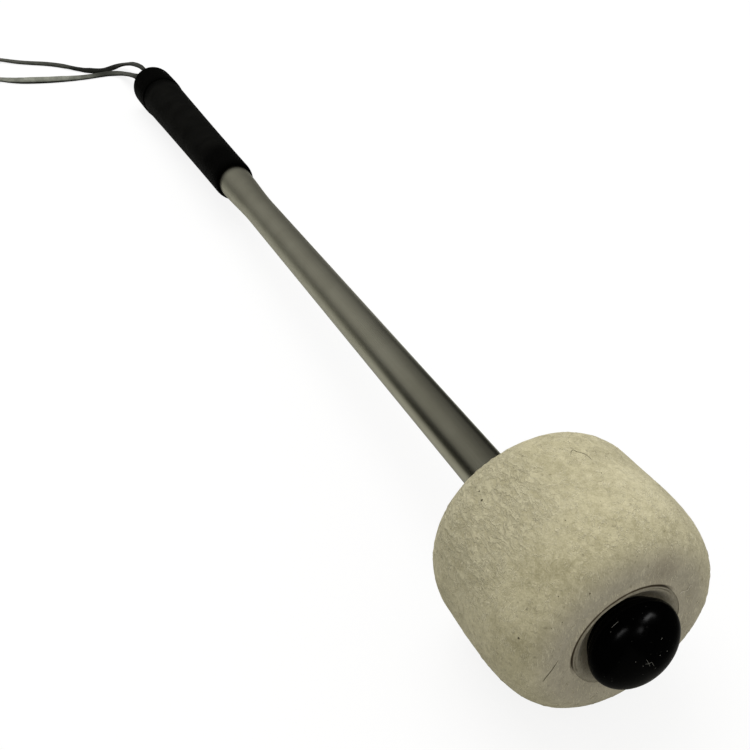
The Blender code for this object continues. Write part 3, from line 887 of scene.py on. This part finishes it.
# Each mark on a hair, thread or scuff is its height, its degrees round the head and its radius.
DARK_HAIR = [
    (-22.57, 177.0, 22.63),
    (-23.43, 175.2, 22.65),
    (-23.80, 173.5, 22.65),
    (-23.12, 172.6, 22.63),
    (-22.27, 170.4, 22.64),
    (-21.28, 169.8, 22.63),
    (-20.13, 169.8, 22.64),
]
PALE_HAIR = [
    (-0.01, 119.2, 11.5),
    (-0.01, 118.6, 12.1),
    (-0.03, 115.4, 13.15),
    (-0.04, 118.6, 13.77),
    (-0.07, 118.2, 14.17),
]
SCUFF = [
    (-0.07, -93.6, 13.95),
    (-0.11, -89.1, 14.62),
    (-0.21, -84.5, 15.32),
    (-0.36, -80.7, 16.09),
    (-0.50, -77.1, 16.64),
]
# The same for each bit of chaff, with its size.
FLECKS = [
    (-24.61, -137.7, 22.65, 0.26),
    (-26.47, -139.4, 22.63, 0.18),
    (-22.87, -139.2, 22.61, 0.16),
    (-10.53, -159.3, 22.39, 0.17),
    (-2.46, -134.9, 19.65, 0.16),
    (-26.43, -117.2, 22.65, 0.15),
    (-3.71, -105.7, 20.53, 0.24),
    (-0.60, -147.0, 16.84, 0.20),
    (-0.62, -125.0, 16.98, 0.15),
    (-1.02, -119.3, 17.85, 0.14),
    (-6.67, -92.1, 21.74, 0.13),
    (-5.68, -100.9, 21.42, 0.14),
    (-10.68, -177.3, 22.40, 0.13),
    (-16.45, 171.6, 22.65, 0.15),
    (-1.11, -179.1, 17.98, 0.13),
    (-24.91, 178.7, 22.63, 0.15),
]


def on_head(share, turn, lift):
    """A point lift above the felt: share runs along its outline from front to back, turn is in radians."""
    at = share * (len(HEAD_LINE) - 2)
    low = int(at)
    here = HEAD_LINE[low].lerp(HEAD_LINE[low + 1], at - low)
    run = (HEAD_LINE[low + 1] - HEAD_LINE[low]).normalized()
    out = Vector((-run.y, run.x)) if run.length else Vector((0.0, 1.0))
    if out.dot(Vector((here.x, here.y + HEAD_LENGTH / 2))) < 0:
        out = -out
    point = round_axis(here.x, turn, here.y)
    normal = round_axis(out.x, turn, out.y).normalized()
    return point + normal * (felt_swell(point) + lift)


def make_fuzz(name, count, length, lift, radius, weight):
    """Short wool fibres that lie on the felt, each bent its own way."""
    total = len(HEAD_LINE) * LINE_STEP
    lines = []
    while len(lines) < count:
        share = dice.uniform(0.03, 0.99)
        turn = dice.uniform(0.0, math.tau)
        if dice.random() > weight(share, turn):
            continue
        heading = dice.uniform(0.0, math.tau)
        bend = dice.uniform(-1.6, 1.6)
        reach = dice.uniform(*length)
        rise = dice.uniform(*lift)
        ring = max(off_axis(on_head(share, turn, 0.0)), 6.0)
        points = []
        for step in range(5):
            t = step / 4
            angle = heading + bend * (t - 0.5)
            along = reach * (t - 0.5)
            s = share + math.cos(angle) * along / total
            a = turn + math.sin(angle) * along / ring
            hump = rise * math.sin(math.pi * min(t * 1.15, 1.0)) + radius * 0.4
            points.append(on_head(min(max(s, 0.005), 0.995), a, hump))
        lines.append(points)
    return thread_line(name, lines, radius, PALE_FIBRE, "mallet")


def everywhere(share, turn):
    """How many fibres stay at a place: fewer on the front face."""
    return 1.0 if share > 0.12 else 0.45


def worn_side(share, turn):
    """How many fibres stay at a place: most on the back half of the worn side."""
    across = math.degrees(turn) % 360.0
    return 1.0 if 190.0 < across < 270.0 and share > 0.45 else 0.18


def surface_line(marks, lift):
    """A line on the felt through (z, degrees, radius) marks."""
    points = []
    for z, degrees, radius in marks:
        turn = math.radians(degrees)
        flat = round_axis(radius, turn, z)
        normal = round_axis(0.15, turn, 1.0).normalized() if z > -2.0 else round_axis(1.0, turn, 0.0)
        points.append(flat + normal * (felt_swell(flat) + lift))
    return through(points, 4)


def make_flecks():
    """Dark bits of chaff caught in the wool."""
    bm = bmesh.new()
    for z, degrees, radius, size in FLECKS:
        turn = math.radians(degrees)
        flat = round_axis(radius, turn, z)
        out = round_axis(1.0, turn, 0.0) if z < -2.0 else UP
        spot = flat + out * (felt_swell(flat) - 0.02)
        long, wide = size * dice.uniform(0.8, 1.3), size * dice.uniform(0.6, 1.0)
        squash = Matrix.Diagonal((long, wide, size * 0.45, 1.0))
        stand = out.to_track_quat("Z", "Y").to_matrix().to_4x4()
        spin = Matrix.Rotation(dice.uniform(0, 6.28), 4, "Z")
        place = Matrix.Translation(spot) @ (stand @ spin) @ squash
        bmesh.ops.create_icosphere(bm, subdivisions=2, radius=1.0, matrix=place)
    for vert in bm.verts:
        vert.co += noise.noise_vector(vert.co * 6.0) * 0.03
    return finish_piece(bm, "felt_flecks", DARK_FIBRE, "mallet")


def make_head_details():
    make_fuzz("felt_fuzz", 900, (0.7, 2.0), (0.0, 0.035), 0.03, everywhere)
    make_fuzz("felt_strands", 260, (1.0, 2.6), (0.01, 0.07), 0.035, worn_side)
    thread_line("felt_hair", [surface_line(DARK_HAIR, 0.06)], 0.045, HAIR, "mallet")
    thread_line("felt_thread", [surface_line(PALE_HAIR, 0.16)], 0.05, WHITE_FIBRE, "mallet")
    thread_line("felt_scuff", [surface_line(SCUFF, 0.02)], 0.09, HAIR, "mallet")
    make_flecks()


# Disc, shaft, grip and butt cap

def make_disc():
    """A felt disc with a thin pressed bead round its edge, dented where the cap bears on it."""
    outline = resampled([(DISC_HOLE, DISC_TOP), (DISC_FLAT, DISC_TOP)], 0.35)
    outline += [(radius, DISC_TOP + rise) for radius, rise in DISC_BEAD]
    outline += [
        (DISC_RADIUS, DISC_TOP + DISC_EDGE_DROP),
        (DISC_RADIUS, DISC_BACK),
        (DISC_HOLE, DISC_BACK),
    ]
    bm = spun(outline, steps=200)
    tip = CAP_LEAN.to_3x3() @ UP
    for vert in bm.verts:
        radius = off_axis(vert.co)
        if vert.co.z < DISC_TOP - 0.3 or radius < DISC_HOLE + 0.2:
            continue
        closed = ring_closed(vert)
        if radius > DISC_FLAT + 0.05:
            vert.co.z += (DISC_TOP - vert.co.z) * closed
        rise = (0.33 + 0.05 * closed) * smooth(radius, 8.6, 10.3)
        seat = DISC_SEAT - (tip.x * vert.co.x + tip.y * vert.co.y) / tip.z
        dent = min(0.0, seat - DISC_TOP) * (1.0 - smooth(radius, 8.1, 10.2))
        lumps = DISC_LUMPS * noise.fractal(vert.co * 0.8, 0.9, 2.0, 3) * smooth(radius, 7.9, 8.6)
        vert.co.z += rise + dent + lumps
    return finish_piece(bm, "front_disc_felt", DISC, "mallet", ["front_disc"], crease=50.0)


def make_shaft():
    """The tube, straight from the head and swelling to the handle under the grip."""
    outline = [
        (SHAFT_BORE, SHAFT_FRONT - SHAFT_EDGE),
        (SHAFT_BORE + SHAFT_EDGE, SHAFT_FRONT),
        (SHAFT_RADIUS - SHAFT_EDGE, SHAFT_FRONT),
        (SHAFT_RADIUS, SHAFT_FRONT - SHAFT_EDGE),
    ]
    swell_start = GRIP_MOUTH + SWELL_LENGTH
    outline.append((SHAFT_RADIUS, swell_start + 3.0))
    for step in range(25):
        t = step / 24
        radius = SHAFT_RADIUS + (HANDLE_RADIUS - SHAFT_RADIUS) * smooth(t, 0.0, 1.0)
        outline.append((radius, swell_start - SWELL_LENGTH * t))
    outline += [
        (HANDLE_RADIUS, SHAFT_BUTT + SHAFT_EDGE),
        (HANDLE_RADIUS - SHAFT_EDGE, SHAFT_BUTT),
        (SHAFT_BORE, SHAFT_BUTT),
    ]
    bm = spun(outline, steps=144)
    return finish_piece(bm, "shaft", ALUMINIUM, "mallet", ["shaft_tube"])


def make_grip():
    """The rubber sleeve: a rounded mouth, then a taper that widens to the butt cap."""
    lip_radius = RUBBER_BORE + 0.2
    lip_end = GRIP_MOUTH - MOUTH_ROUND
    outline = [(RUBBER_BORE, GRIP_MOUTH - 0.15), (RUBBER_BORE + 0.08, GRIP_MOUTH)]
    outline += arc(lip_radius, lip_end, MOUTH_RADIUS - lip_radius, MOUTH_ROUND, count=16)
    for step in range(1, 41):
        t = step / 40
        radius = MOUTH_RADIUS + (GRIP_RADIUS - MOUTH_RADIUS) * t**GRIP_TAPER
        outline.append((radius, lip_end + (BUTT_RIM - lip_end) * t))
    outline += [(GRIP_RADIUS, GRIP_END), (RUBBER_BORE, GRIP_END)]
    bm = spun(outline, steps=144)
    return finish_piece(bm, "grip", GRIP_RUBBER, "mallet", ["grip_sleeve"])


def make_butt():
    """The rubber end cap: a thin rim, a shoulder, a rounded end with the thong's hole, room for the knot."""
    rim = BUTT_RIM - GAP
    shoulder = rim - 0.03 - RIM_LENGTH
    outline = [(RUBBER_BORE, rim)]
    for step in range(7):
        t = step / 6
        radius = RIM_RADIUS + (SHOULDER_RADIUS - RIM_RADIUS) * smooth(t, 0.0, 1.0)
        outline.append((radius, rim - 0.03 - RIM_LENGTH * t))
    for step in range(1, 13):
        t = step / 12
        radius = SHOULDER_RADIUS + (BUTT_RADIUS - SHOULDER_RADIUS) * math.sin(t * math.pi / 2)
        outline.append((radius, shoulder - SHOULDER_LENGTH * t))
    end = arc(BUTT_FLAT, BUTT_END + BUTT_ROUND, BUTT_RADIUS - BUTT_FLAT, -BUTT_ROUND, count=18)
    outline += end[::-1]
    outline += [
        (THONG_HOLE + HOLE_EDGE, BUTT_END),
        (THONG_HOLE, BUTT_END + HOLE_EDGE),
        (THONG_HOLE, BUTT_END + END_WALL),
        (KNOT_ROOM, BUTT_END + END_WALL),
        (KNOT_ROOM, SHAFT_BUTT - GAP),
        (RUBBER_BORE, SHAFT_BUTT - GAP),
    ]
    bm = spun(outline, steps=144)
    return finish_piece(bm, "butt", BUTT_RUBBER, "mallet", ["butt_cap"])


# Nose cap

# Lint on the cap: each place is its degrees from the nose and its degrees round the cap.
LINT_LINES = [
    [(9.5, -112.3), (8.3, -31.6), (21.3, 5.6)],
    [(13.9, -48.8), (11.0, -15.0), (10.6, 27.5)],
    [(10.6, 27.5), (28.0, 27.5)],
    [(44.1, 139.3), (47.9, 137.9)],
    [(81.3, -139.3), (81.0, -144.7), (80.9, -150.2)],
]
LINT_DOTS = [
    (32.7, -96.4),
    (27.3, 87.8),
    (71.2, -58.0),
    (39.7, -17.9),
    (79.4, -135.2),
    (20.6, -51.3),
    (36.2, 27.0),
    (44.7, 89.1),
]


def make_dome():
    """The black nose cap: a flattened dome on a narrower foot, hollow over the washer and the stud."""
    washer_radius, washer_top = WASHER_ROOM
    stud_radius, stud_top = STUD_ROOM
    outline = arc(0.0, DOME_WIDEST, DOME_RADIUS, DOME_HEIGHT - DOME_WIDEST, count=49, power=DOME_POWER)
    under = arc(
        FLANGE_RADIUS, DOME_WIDEST, DOME_RADIUS - FLANGE_RADIUS, FLANGE_TOP - DOME_WIDEST, count=11
    )
    outline += under[::-1][1:]
    outline += [
        (FLANGE_RADIUS, 0.8),
        (FLANGE_RADIUS, 0.0),
        (FLANGE_RADIUS - 0.06, DOME_FOOT + 0.08),
        (FLANGE_RADIUS - 0.2, DOME_FOOT),
        (washer_radius, DOME_FOOT),
        (washer_radius, washer_top),
        (stud_radius, washer_top),
        (stud_radius, stud_top),
        (0.0, stud_top),
    ]
    bm = spun(outline, steps=160, closed=False)
    for vert in bm.verts:
        radius = off_axis(vert.co)
        inside = vert.co.z < stud_top + 0.05 and radius < stud_radius + 0.1
        leaning = 0.0 if inside else smooth(radius, *FOOT_LEANS)
        if vert.co.z > washer_top + 0.1 and not inside:
            leaning = 1.0
        vert.co = vert.co.lerp(CAP_LEAN @ vert.co, leaning)
    return finish_piece(bm, "dome", CAP_BLACK, "cap", ["dome_cap"], crease=40.0)


def dome_line(marks, lift):
    """Points lift above the dome, each given by its angle from the nose and its angle round the cap."""
    points = []
    for polar, degrees in marks:
        polar, turn = math.radians(polar), math.radians(degrees)
        side = (math.sin(polar) / DOME_RADIUS) ** DOME_POWER
        front = (math.cos(polar) / (DOME_HEIGHT - DOME_WIDEST)) ** DOME_POWER
        out = round_axis(math.sin(polar), turn, math.cos(polar))
        spot = Vector((0.0, 0.0, DOME_WIDEST)) + out * ((side + front) ** (-1 / DOME_POWER) + lift)
        points.append(CAP_LEAN @ spot)
    return points


def make_lint():
    lines = [through(dome_line(marks, 0.03), 4) for marks in LINT_LINES]
    thread_line("cap_lint", lines, 0.045, LINT, "cap")
    bm = bmesh.new()
    for mark in LINT_DOTS:
        spot = dome_line([mark], 0.02)[0]
        size = dice.uniform(0.05, 0.1)
        bmesh.ops.create_icosphere(bm, subdivisions=1, radius=size, matrix=Matrix.Translation(spot))
    finish_piece(bm, "cap_dust", LINT, "cap")


# Wrist thong, in metres

THONG_WIDTH = 0.004
THONG_THICKNESS = 0.0013
THONG_STEP = 0.0015  # between the rings of its mesh
THONG_SHIFT = Vector((-0.0013, 0.0005, 0.0))  # from its route to where it settles on the surface
SHIFT_FADES = (0.0016, 0.0045)  # between these heights of the route
REST_FADES = (0.0015, 0.0024)  # between these it is let down less and less
RINGS_EVENED = 5  # on each side

# Its route, from the point on the surface below the hole in the butt cap's end.
THONG_ROUTE = [
    (0.0052, 0.0018, 0.00921),
    (0.0, 0.0018, 0.00899),
    (-0.009, 0.0019, 0.0088),
    (-0.0185, 0.0021, 0.0087),
    (-0.028, 0.0022, 0.0084),
    (-0.0375, 0.0018, 0.0076),
    (-0.0465, 0.0009, 0.0062),
    (-0.0545, -0.0005, 0.0044),
    (-0.06, -0.0027, 0.0027),
    (-0.0622, -0.0059, 0.0017),
    (-0.0608, -0.0098, 0.0015),
    (-0.0593, -0.0134, 0.0015),
    (-0.0596, -0.0172, 0.0015),
    (-0.0623, -0.0209, 0.0015),
    (-0.0664, -0.0246, 0.0015),
    (-0.0716, -0.0286, 0.0015),
    (-0.0774, -0.0329, 0.0015),
    (-0.082, -0.0374, 0.0015),
    (-0.0856, -0.0421, 0.0015),
    (-0.0888, -0.0469, 0.0015),
    (-0.0922, -0.0517, 0.0015),
    (-0.0962, -0.0562, 0.0015),
    (-0.1008, -0.0609, 0.0015),
    (-0.1075, -0.0685, 0.0015),
    (-0.1135, -0.0775, 0.0015),
    (-0.117, -0.0875, 0.0015),
    (-0.117, -0.098, 0.0015),
    (-0.1125, -0.107, 0.0015),
    (-0.104, -0.112, 0.0015),
    (-0.094, -0.1115, 0.0015),
    (-0.0855, -0.107, 0.0015),
    (-0.0798, -0.0995, 0.0015),
    (-0.0765, -0.0905, 0.0015),
    (-0.074, -0.081, 0.0015),
    (-0.0708, -0.0725, 0.0015),
    (-0.0663, -0.0648, 0.0015),
    (-0.062, -0.0598, 0.0015),
    (-0.0587, -0.0554, 0.0015),
    (-0.0565, -0.0508, 0.0015),
    (-0.0549, -0.0461, 0.0015),
    (-0.0536, -0.0413, 0.0015),
    (-0.0527, -0.0365, 0.0015),
    (-0.0521, -0.0316, 0.0015),
    (-0.0518, -0.0266, 0.0015),
    (-0.0519, -0.0215, 0.0015),
    (-0.0524, -0.0165, 0.0015),
    (-0.0524, -0.0118, 0.0015),
    (-0.0504, -0.0082, 0.0016),
    (-0.0463, -0.006, 0.0022),
    (-0.0409, -0.0047, 0.0034),
    (-0.0348, -0.0038, 0.0048),
    (-0.028, -0.0031, 0.0063),
    (-0.0209, -0.0024, 0.0078),
    (-0.0135, -0.002, 0.0086),
    (-0.007, -0.0018, 0.00885),
    (0.0, -0.0018, 0.00899),
    (0.0052, -0.0018, 0.00921),
]

# How far its flat side leans from lying flat, in degrees, at each of these shares of its length.
THONG_LEAN = [
    (0.0, 90),
    (0.03, 90),
    (0.06, 68),
    (0.09, 30),
    (0.115, 8),
    (0.135, 0),
    (0.15, -6),
    (0.165, -6),
    (0.184, -8),
    (0.199, -8),
    (0.213, -14),
    (0.222, -14),
    (0.236, 0),
    (0.253, 6),
    (0.272, -1),
    (0.304, -2),
    (0.333, 1),
    (0.362, 6),
    (0.45, 0),
    (0.60, 0),
    (0.701, 3),
    (0.714, 14),
    (0.727, 23),
    (0.741, 29),
    (0.754, 28),
    (0.767, 26),
    (0.779, 24),
    (0.791, 17),
    (0.804, 11),
    (0.82, 8),
    (0.85, 13),
    (0.87, 6),
    (0.905, 0),
    (0.92, 6),
    (0.935, 24),
    (0.955, 62),
    (0.975, 88),
    (1.0, 90),
]

# How strong the painted sheen on its upper side is at each share of its length.
THONG_PAINTED_SHEEN = [
    (0.0, 0.0),
    (0.12, 0.09),
    (0.17, 0.10),
    (0.19, 0.0),
    (0.24, 0.0),
    (0.27, 0.18),
    (0.37, 0.28),
    (0.5, 0.6),
    (0.69, 0.6),
    (0.71, 0.7),
    (0.74, 1.0),
    (0.78, 0.85),
    (0.81, 0.45),
    (0.835, 0.12),
    (0.86, 0.25),
    (0.90, 0.25),
    (0.94, 0.05),
    (1.0, 0.0),
]


def thong_path():
    hole = TO_WORLD @ Vector((0.0, 0.0, BUTT_END))
    foot = Vector((hole.x, 0.0, 0.0))
    path = [foot + p for p in evenly(through(THONG_ROUTE, 16), THONG_STEP)]
    return [p + THONG_SHIFT * (1.0 - smooth(p.z, *SHIFT_FADES)) for p in path]


def thong_section(bm):
    """The lace's section, a flat shape with rounded corners, as the first ring of its mesh."""
    bmesh.ops.create_circle(bm, cap_ends=True, radius=1.0, segments=16)
    for vert in bm.verts:
        x, y = vert.co.x, vert.co.y
        vert.co.x = math.copysign(abs(x) ** 0.45, x) * THONG_WIDTH / 2
        vert.co.y = math.copysign(abs(y) ** 0.6, y) * THONG_THICKNESS / 2
    return [vert.co.copy() for vert in bm.verts]


def thong_frame(path, index):
    """How the section stands at a point of the path: x across the lace and z along the path."""
    before = path[max(index - 1, 0)]
    after = path[min(index + 1, len(path) - 1)]
    along = (after - before).normalized()
    side = along.cross(UP).normalized()
    lean = math.radians(between(THONG_LEAN, index / (len(path) - 1)))
    width_way = Matrix.Rotation(lean, 3, along) @ side
    basis = Matrix((width_way, along.cross(width_way), along)).transposed().to_4x4()
    return Matrix.Translation(path[index]) @ basis


def thong_drops(path, section):
    """How far each point of the path is let down, or lifted, for the lace to lie on the surface."""
    drops = []
    for index, middle in enumerate(path):
        there = thong_frame(path, index)
        lowest = min((there @ co).z for co in section) - SURFACE_LIFT
        resting = 1.0 - smooth(middle.z, *REST_FADES)
        drops.append((lowest, lowest if lowest < 0.0 else lowest * resting))
    evened = []
    for index, (lowest, _) in enumerate(drops):
        near = drops[max(index - RINGS_EVENED, 0) : index + RINGS_EVENED + 1]
        evened.append(min(sum(drop for _, drop in near) / len(near), lowest))
    return evened


def make_thong():
    """A flat lace: one rounded section carried along the route, lying on the surface where it can."""
    path = thong_path()
    bm = bmesh.new()
    # the worn layer holds painted sheen on the lace's upper side
    worn = bm.verts.layers.float.new("worn")
    drops = thong_drops(path, thong_section(bm))
    here = Matrix.Identity(4)
    ring = list(bm.edges)
    fresh = list(bm.verts)
    for index, drop in enumerate(drops):
        if index:
            grown = bmesh.ops.extrude_edge_only(bm, edges=ring)["geom"]
            fresh = [g for g in grown if isinstance(g, bmesh.types.BMVert)]
            edges = [g for g in grown if isinstance(g, bmesh.types.BMEdge)]
            ring = [edge for edge in edges if all(v in fresh for v in edge.verts)]
        there = thong_frame(path, index)
        bmesh.ops.transform(bm, matrix=there @ here.inverted(), verts=fresh)
        down = Matrix.Translation((0.0, 0.0, -drop))
        bmesh.ops.transform(bm, matrix=down, verts=fresh)
        here = down @ there
        painted_sheen = between(THONG_PAINTED_SHEEN, index / (len(path) - 1))
        for vert in fresh:
            up = (vert.co.z - here.translation.z) / (THONG_THICKNESS / 2)
            # painted sheen: paler on the upper side of the section
            vert[worn] = smooth(up, -0.7, 0.4) * painted_sheen
    bmesh.ops.contextual_create(bm, geom=ring)
    bmesh.ops.recalc_face_normals(bm, faces=bm.faces)
    piece = finish_piece(
        bm, "wrist_thong", THONG, "mallet", ["wrist_strap"], matrix=Matrix.Identity(4)
    )
    return piece


# Materials of the pieces kept from the CAD

KEPT = {
    "head_core": HARDWOOD,
    "head_stud": STEEL,
    "seat_washer": STEEL,
    "front_washer": STEEL,
    "shaft_insert": STEEL,
    "insert_pin": STEEL,
    "strap_washer": STEEL,
    "cap_insert": BRASS,
    "strap_knot": THONG,
}


def dress_kept_pieces():
    for name, material in KEPT.items():
        for slot in frame["nodes"][name].material_slots:
            slot.material = material


# Camera, surface and light

CAMERA_PLACE = (0.250418, -0.079714, 0.150153)
CAMERA_YAW = 2.717384
CAMERA_PITCH = -0.628185
CAMERA_LENS = 43.2254

WHITE = rgb(1.0, 1.0, 1.0)
CLIP_START = 0.01
SENSOR_WIDTH = 36.0
FLOOR_DROP = -0.0002  # so that it doesn't lie in one plane with what rests on it
LAMP_DISTANCE = 1.2
NOSE_HEIGHT = 0.006  # of the nose cap above the front face, where the lamps aim
# Lamps that only gloss mirrors: the way to each from the nose, the way of its longer side, its size
# in metres and its power in watts.
GLOSS_LAMPS = [
    ("lamp_right", (0.725, 0.534, 0.435), (-0.569, 0.819, -0.072), (0.34, 0.12), 2.6),
    ("lamp_left", (0.880, -0.257, 0.399), (0.063, 0.894, 0.443), (0.34, 0.12), 1.4),
    ("lamp_middle", (0.932, 0.257, 0.257), (-0.359, 0.768, 0.530), (0.18, 0.13), 0.5),
]


def make_camera():
    data = bpy.data.cameras.new("camera")
    data.lens = CAMERA_LENS
    data.sensor_width = SENSOR_WIDTH
    data.clip_start = CLIP_START
    camera = linked("camera", data)
    camera.location = CAMERA_PLACE
    camera.rotation_euler = (math.pi / 2 + CAMERA_PITCH, 0.0, CAMERA_YAW - math.pi / 2)
    bpy.context.scene.camera = camera


def mix_shaders(tree, share, first, second):
    inputs = {0: share, 1: first.outputs[0], 2: second.outputs[0]}
    return wire(tree, "ShaderNodeMixShader", inputs=inputs)


def make_floor():
    """White to the eye, grey where it lights the mallet, and mirrored palest along the tube."""
    bm = bmesh.new()
    bmesh.ops.create_grid(bm, x_segments=1, y_segments=1, size=6.0)
    mesh = mesh_from(bm, "floor")
    material = bpy.data.materials.new("pale_floor")
    material.use_nodes = True
    tree = material.node_tree
    tree.nodes.clear()
    rays = wire(tree, "ShaderNodeLightPath").outputs
    seen = rays["Is Camera Ray"]
    place = split(tree, object_space(tree))
    aside = maths(tree, "ABSOLUTE", place["Y"])
    near = ramped(tree, aside, 0.080, 0.010)
    near = times(tree, near, ramped(tree, place["X"], 0.205, 0.165, 0.03, 1.0))
    back = maths(tree, "MAXIMUM", maths(tree, "SUBTRACT", 0.10, place["X"]), 0.02)
    far = ramped(tree, maths(tree, "DIVIDE", aside, back), 1.0, 0.54)
    around = tinted(tree, far, rgb(0.025, 0.025, 0.022), rgb(0.16, 0.16, 0.148))
    mirrored = tinted(tree, near, around, rgb(0.40, 0.40, 0.375))
    lit = tinted(tree, rays["Is Glossy Ray"], rgb(0.50, 0.50, 0.48), mirrored)
    paint = wire(tree, "ShaderNodeBsdfDiffuse", inputs={"Color": tinted(tree, seen, lit, WHITE)})
    glow = wire(tree, "ShaderNodeEmission", inputs={"Color": WHITE, "Strength": 1.0})
    lifted = mix_shaders(tree, times(tree, seen, 0.86), paint, glow)
    wire(tree, "ShaderNodeOutputMaterial", inputs={"Surface": lifted.outputs[0]})
    mesh.materials.append(material)
    floor = linked("floor", mesh)
    floor.location = (0.0, 0.0, FLOOR_DROP)


def make_world():
    """White behind the mallet, soft light on it, and a dim room for its metal and gloss to mirror."""
    world = bpy.data.worlds.new("studio")
    world.use_nodes = True
    tree = world.node_tree
    tree.nodes.clear()
    rays = wire(tree, "ShaderNodeLightPath").outputs
    direction = split(tree, wire(tree, "ShaderNodeTexCoord").outputs["Generated"])
    ahead, across, up = direction["X"], direction["Y"], direction["Z"]
    horizon = ramped(tree, ahead, -0.70, -0.88, 0.012, 0.16)
    rise = ramped(tree, up, -0.02, 0.44)
    room = plus(tree, horizon, times(tree, rise, maths(tree, "SUBTRACT", 0.34, horizon)))
    room = times(tree, room, ramped(tree, across, 0.65, -0.35, 0.48, 1.0))
    beyond_butt = ramped(tree, ahead, -0.62, -0.89, 0.0, 0.6)
    behind_head = ramped(tree, ahead, 0.02, -0.66, 0.02, 0.4)
    room = times(tree, room, plus(tree, beyond_butt, behind_head))
    fill = added(tree, times(tree, across, 0.13), (ahead, 0.10))
    fill = plus(tree, fill, 0.63)
    soft = wire(tree, "ShaderNodeBackground", inputs={"Color": rgb(1.0, 0.985, 0.95), "Strength": fill})
    dim = wire(tree, "ShaderNodeBackground", inputs={"Color": rgb(1.0, 0.99, 0.95), "Strength": room})
    white = wire(tree, "ShaderNodeBackground", inputs={"Color": WHITE, "Strength": 1.0})
    mirrored = mix_shaders(tree, rays["Is Glossy Ray"], soft, dim)
    seen = mix_shaders(tree, rays["Is Camera Ray"], mirrored, white)
    wire(tree, "ShaderNodeOutputWorld", inputs={"Surface": seen.outputs[0]})
    bpy.context.scene.world = world


def make_lamp(name, way, long_way, size, power, aim, only_gloss):
    """A soft lamp off from aim in the direction of way, its longer side turned along long_way."""
    data = bpy.data.lights.new(name, "AREA")
    data.shape = "RECTANGLE"
    data.size, data.size_y = size
    data.energy = power
    lamp = linked(name, data)
    way = Vector(way).normalized()
    across = Vector(long_way)
    across = (across - way * across.dot(way)).normalized()
    basis = Matrix((across, way.cross(across), way)).transposed().to_4x4()
    lamp.matrix_world = Matrix.Translation(Vector(aim) + way * LAMP_DISTANCE) @ basis
    lamp.visible_glossy = only_gloss
    lamp.visible_diffuse = not only_gloss


def make_lights():
    make_lamp("overhead", (-0.407, 0.0, 0.914), (0.0, 1.0, 0.0), (1.1, 1.1), 9.5, (0.05, 0.0, 0.02), False)
    nose = FACE + AXIS * NOSE_HEIGHT
    for lamp in GLOSS_LAMPS:
        make_lamp(*lamp, nose, True)


# All of it

def main():
    make_camera()
    make_thong()
    make_felt_head()
    make_head_details()
    make_disc()
    make_shaft()
    make_grip()
    make_butt()
    make_dome()
    make_lint()
    dress_kept_pieces()
    make_floor()
    make_world()
    make_lights()
    bpy.context.scene.view_settings.view_transform = "Standard"


main()
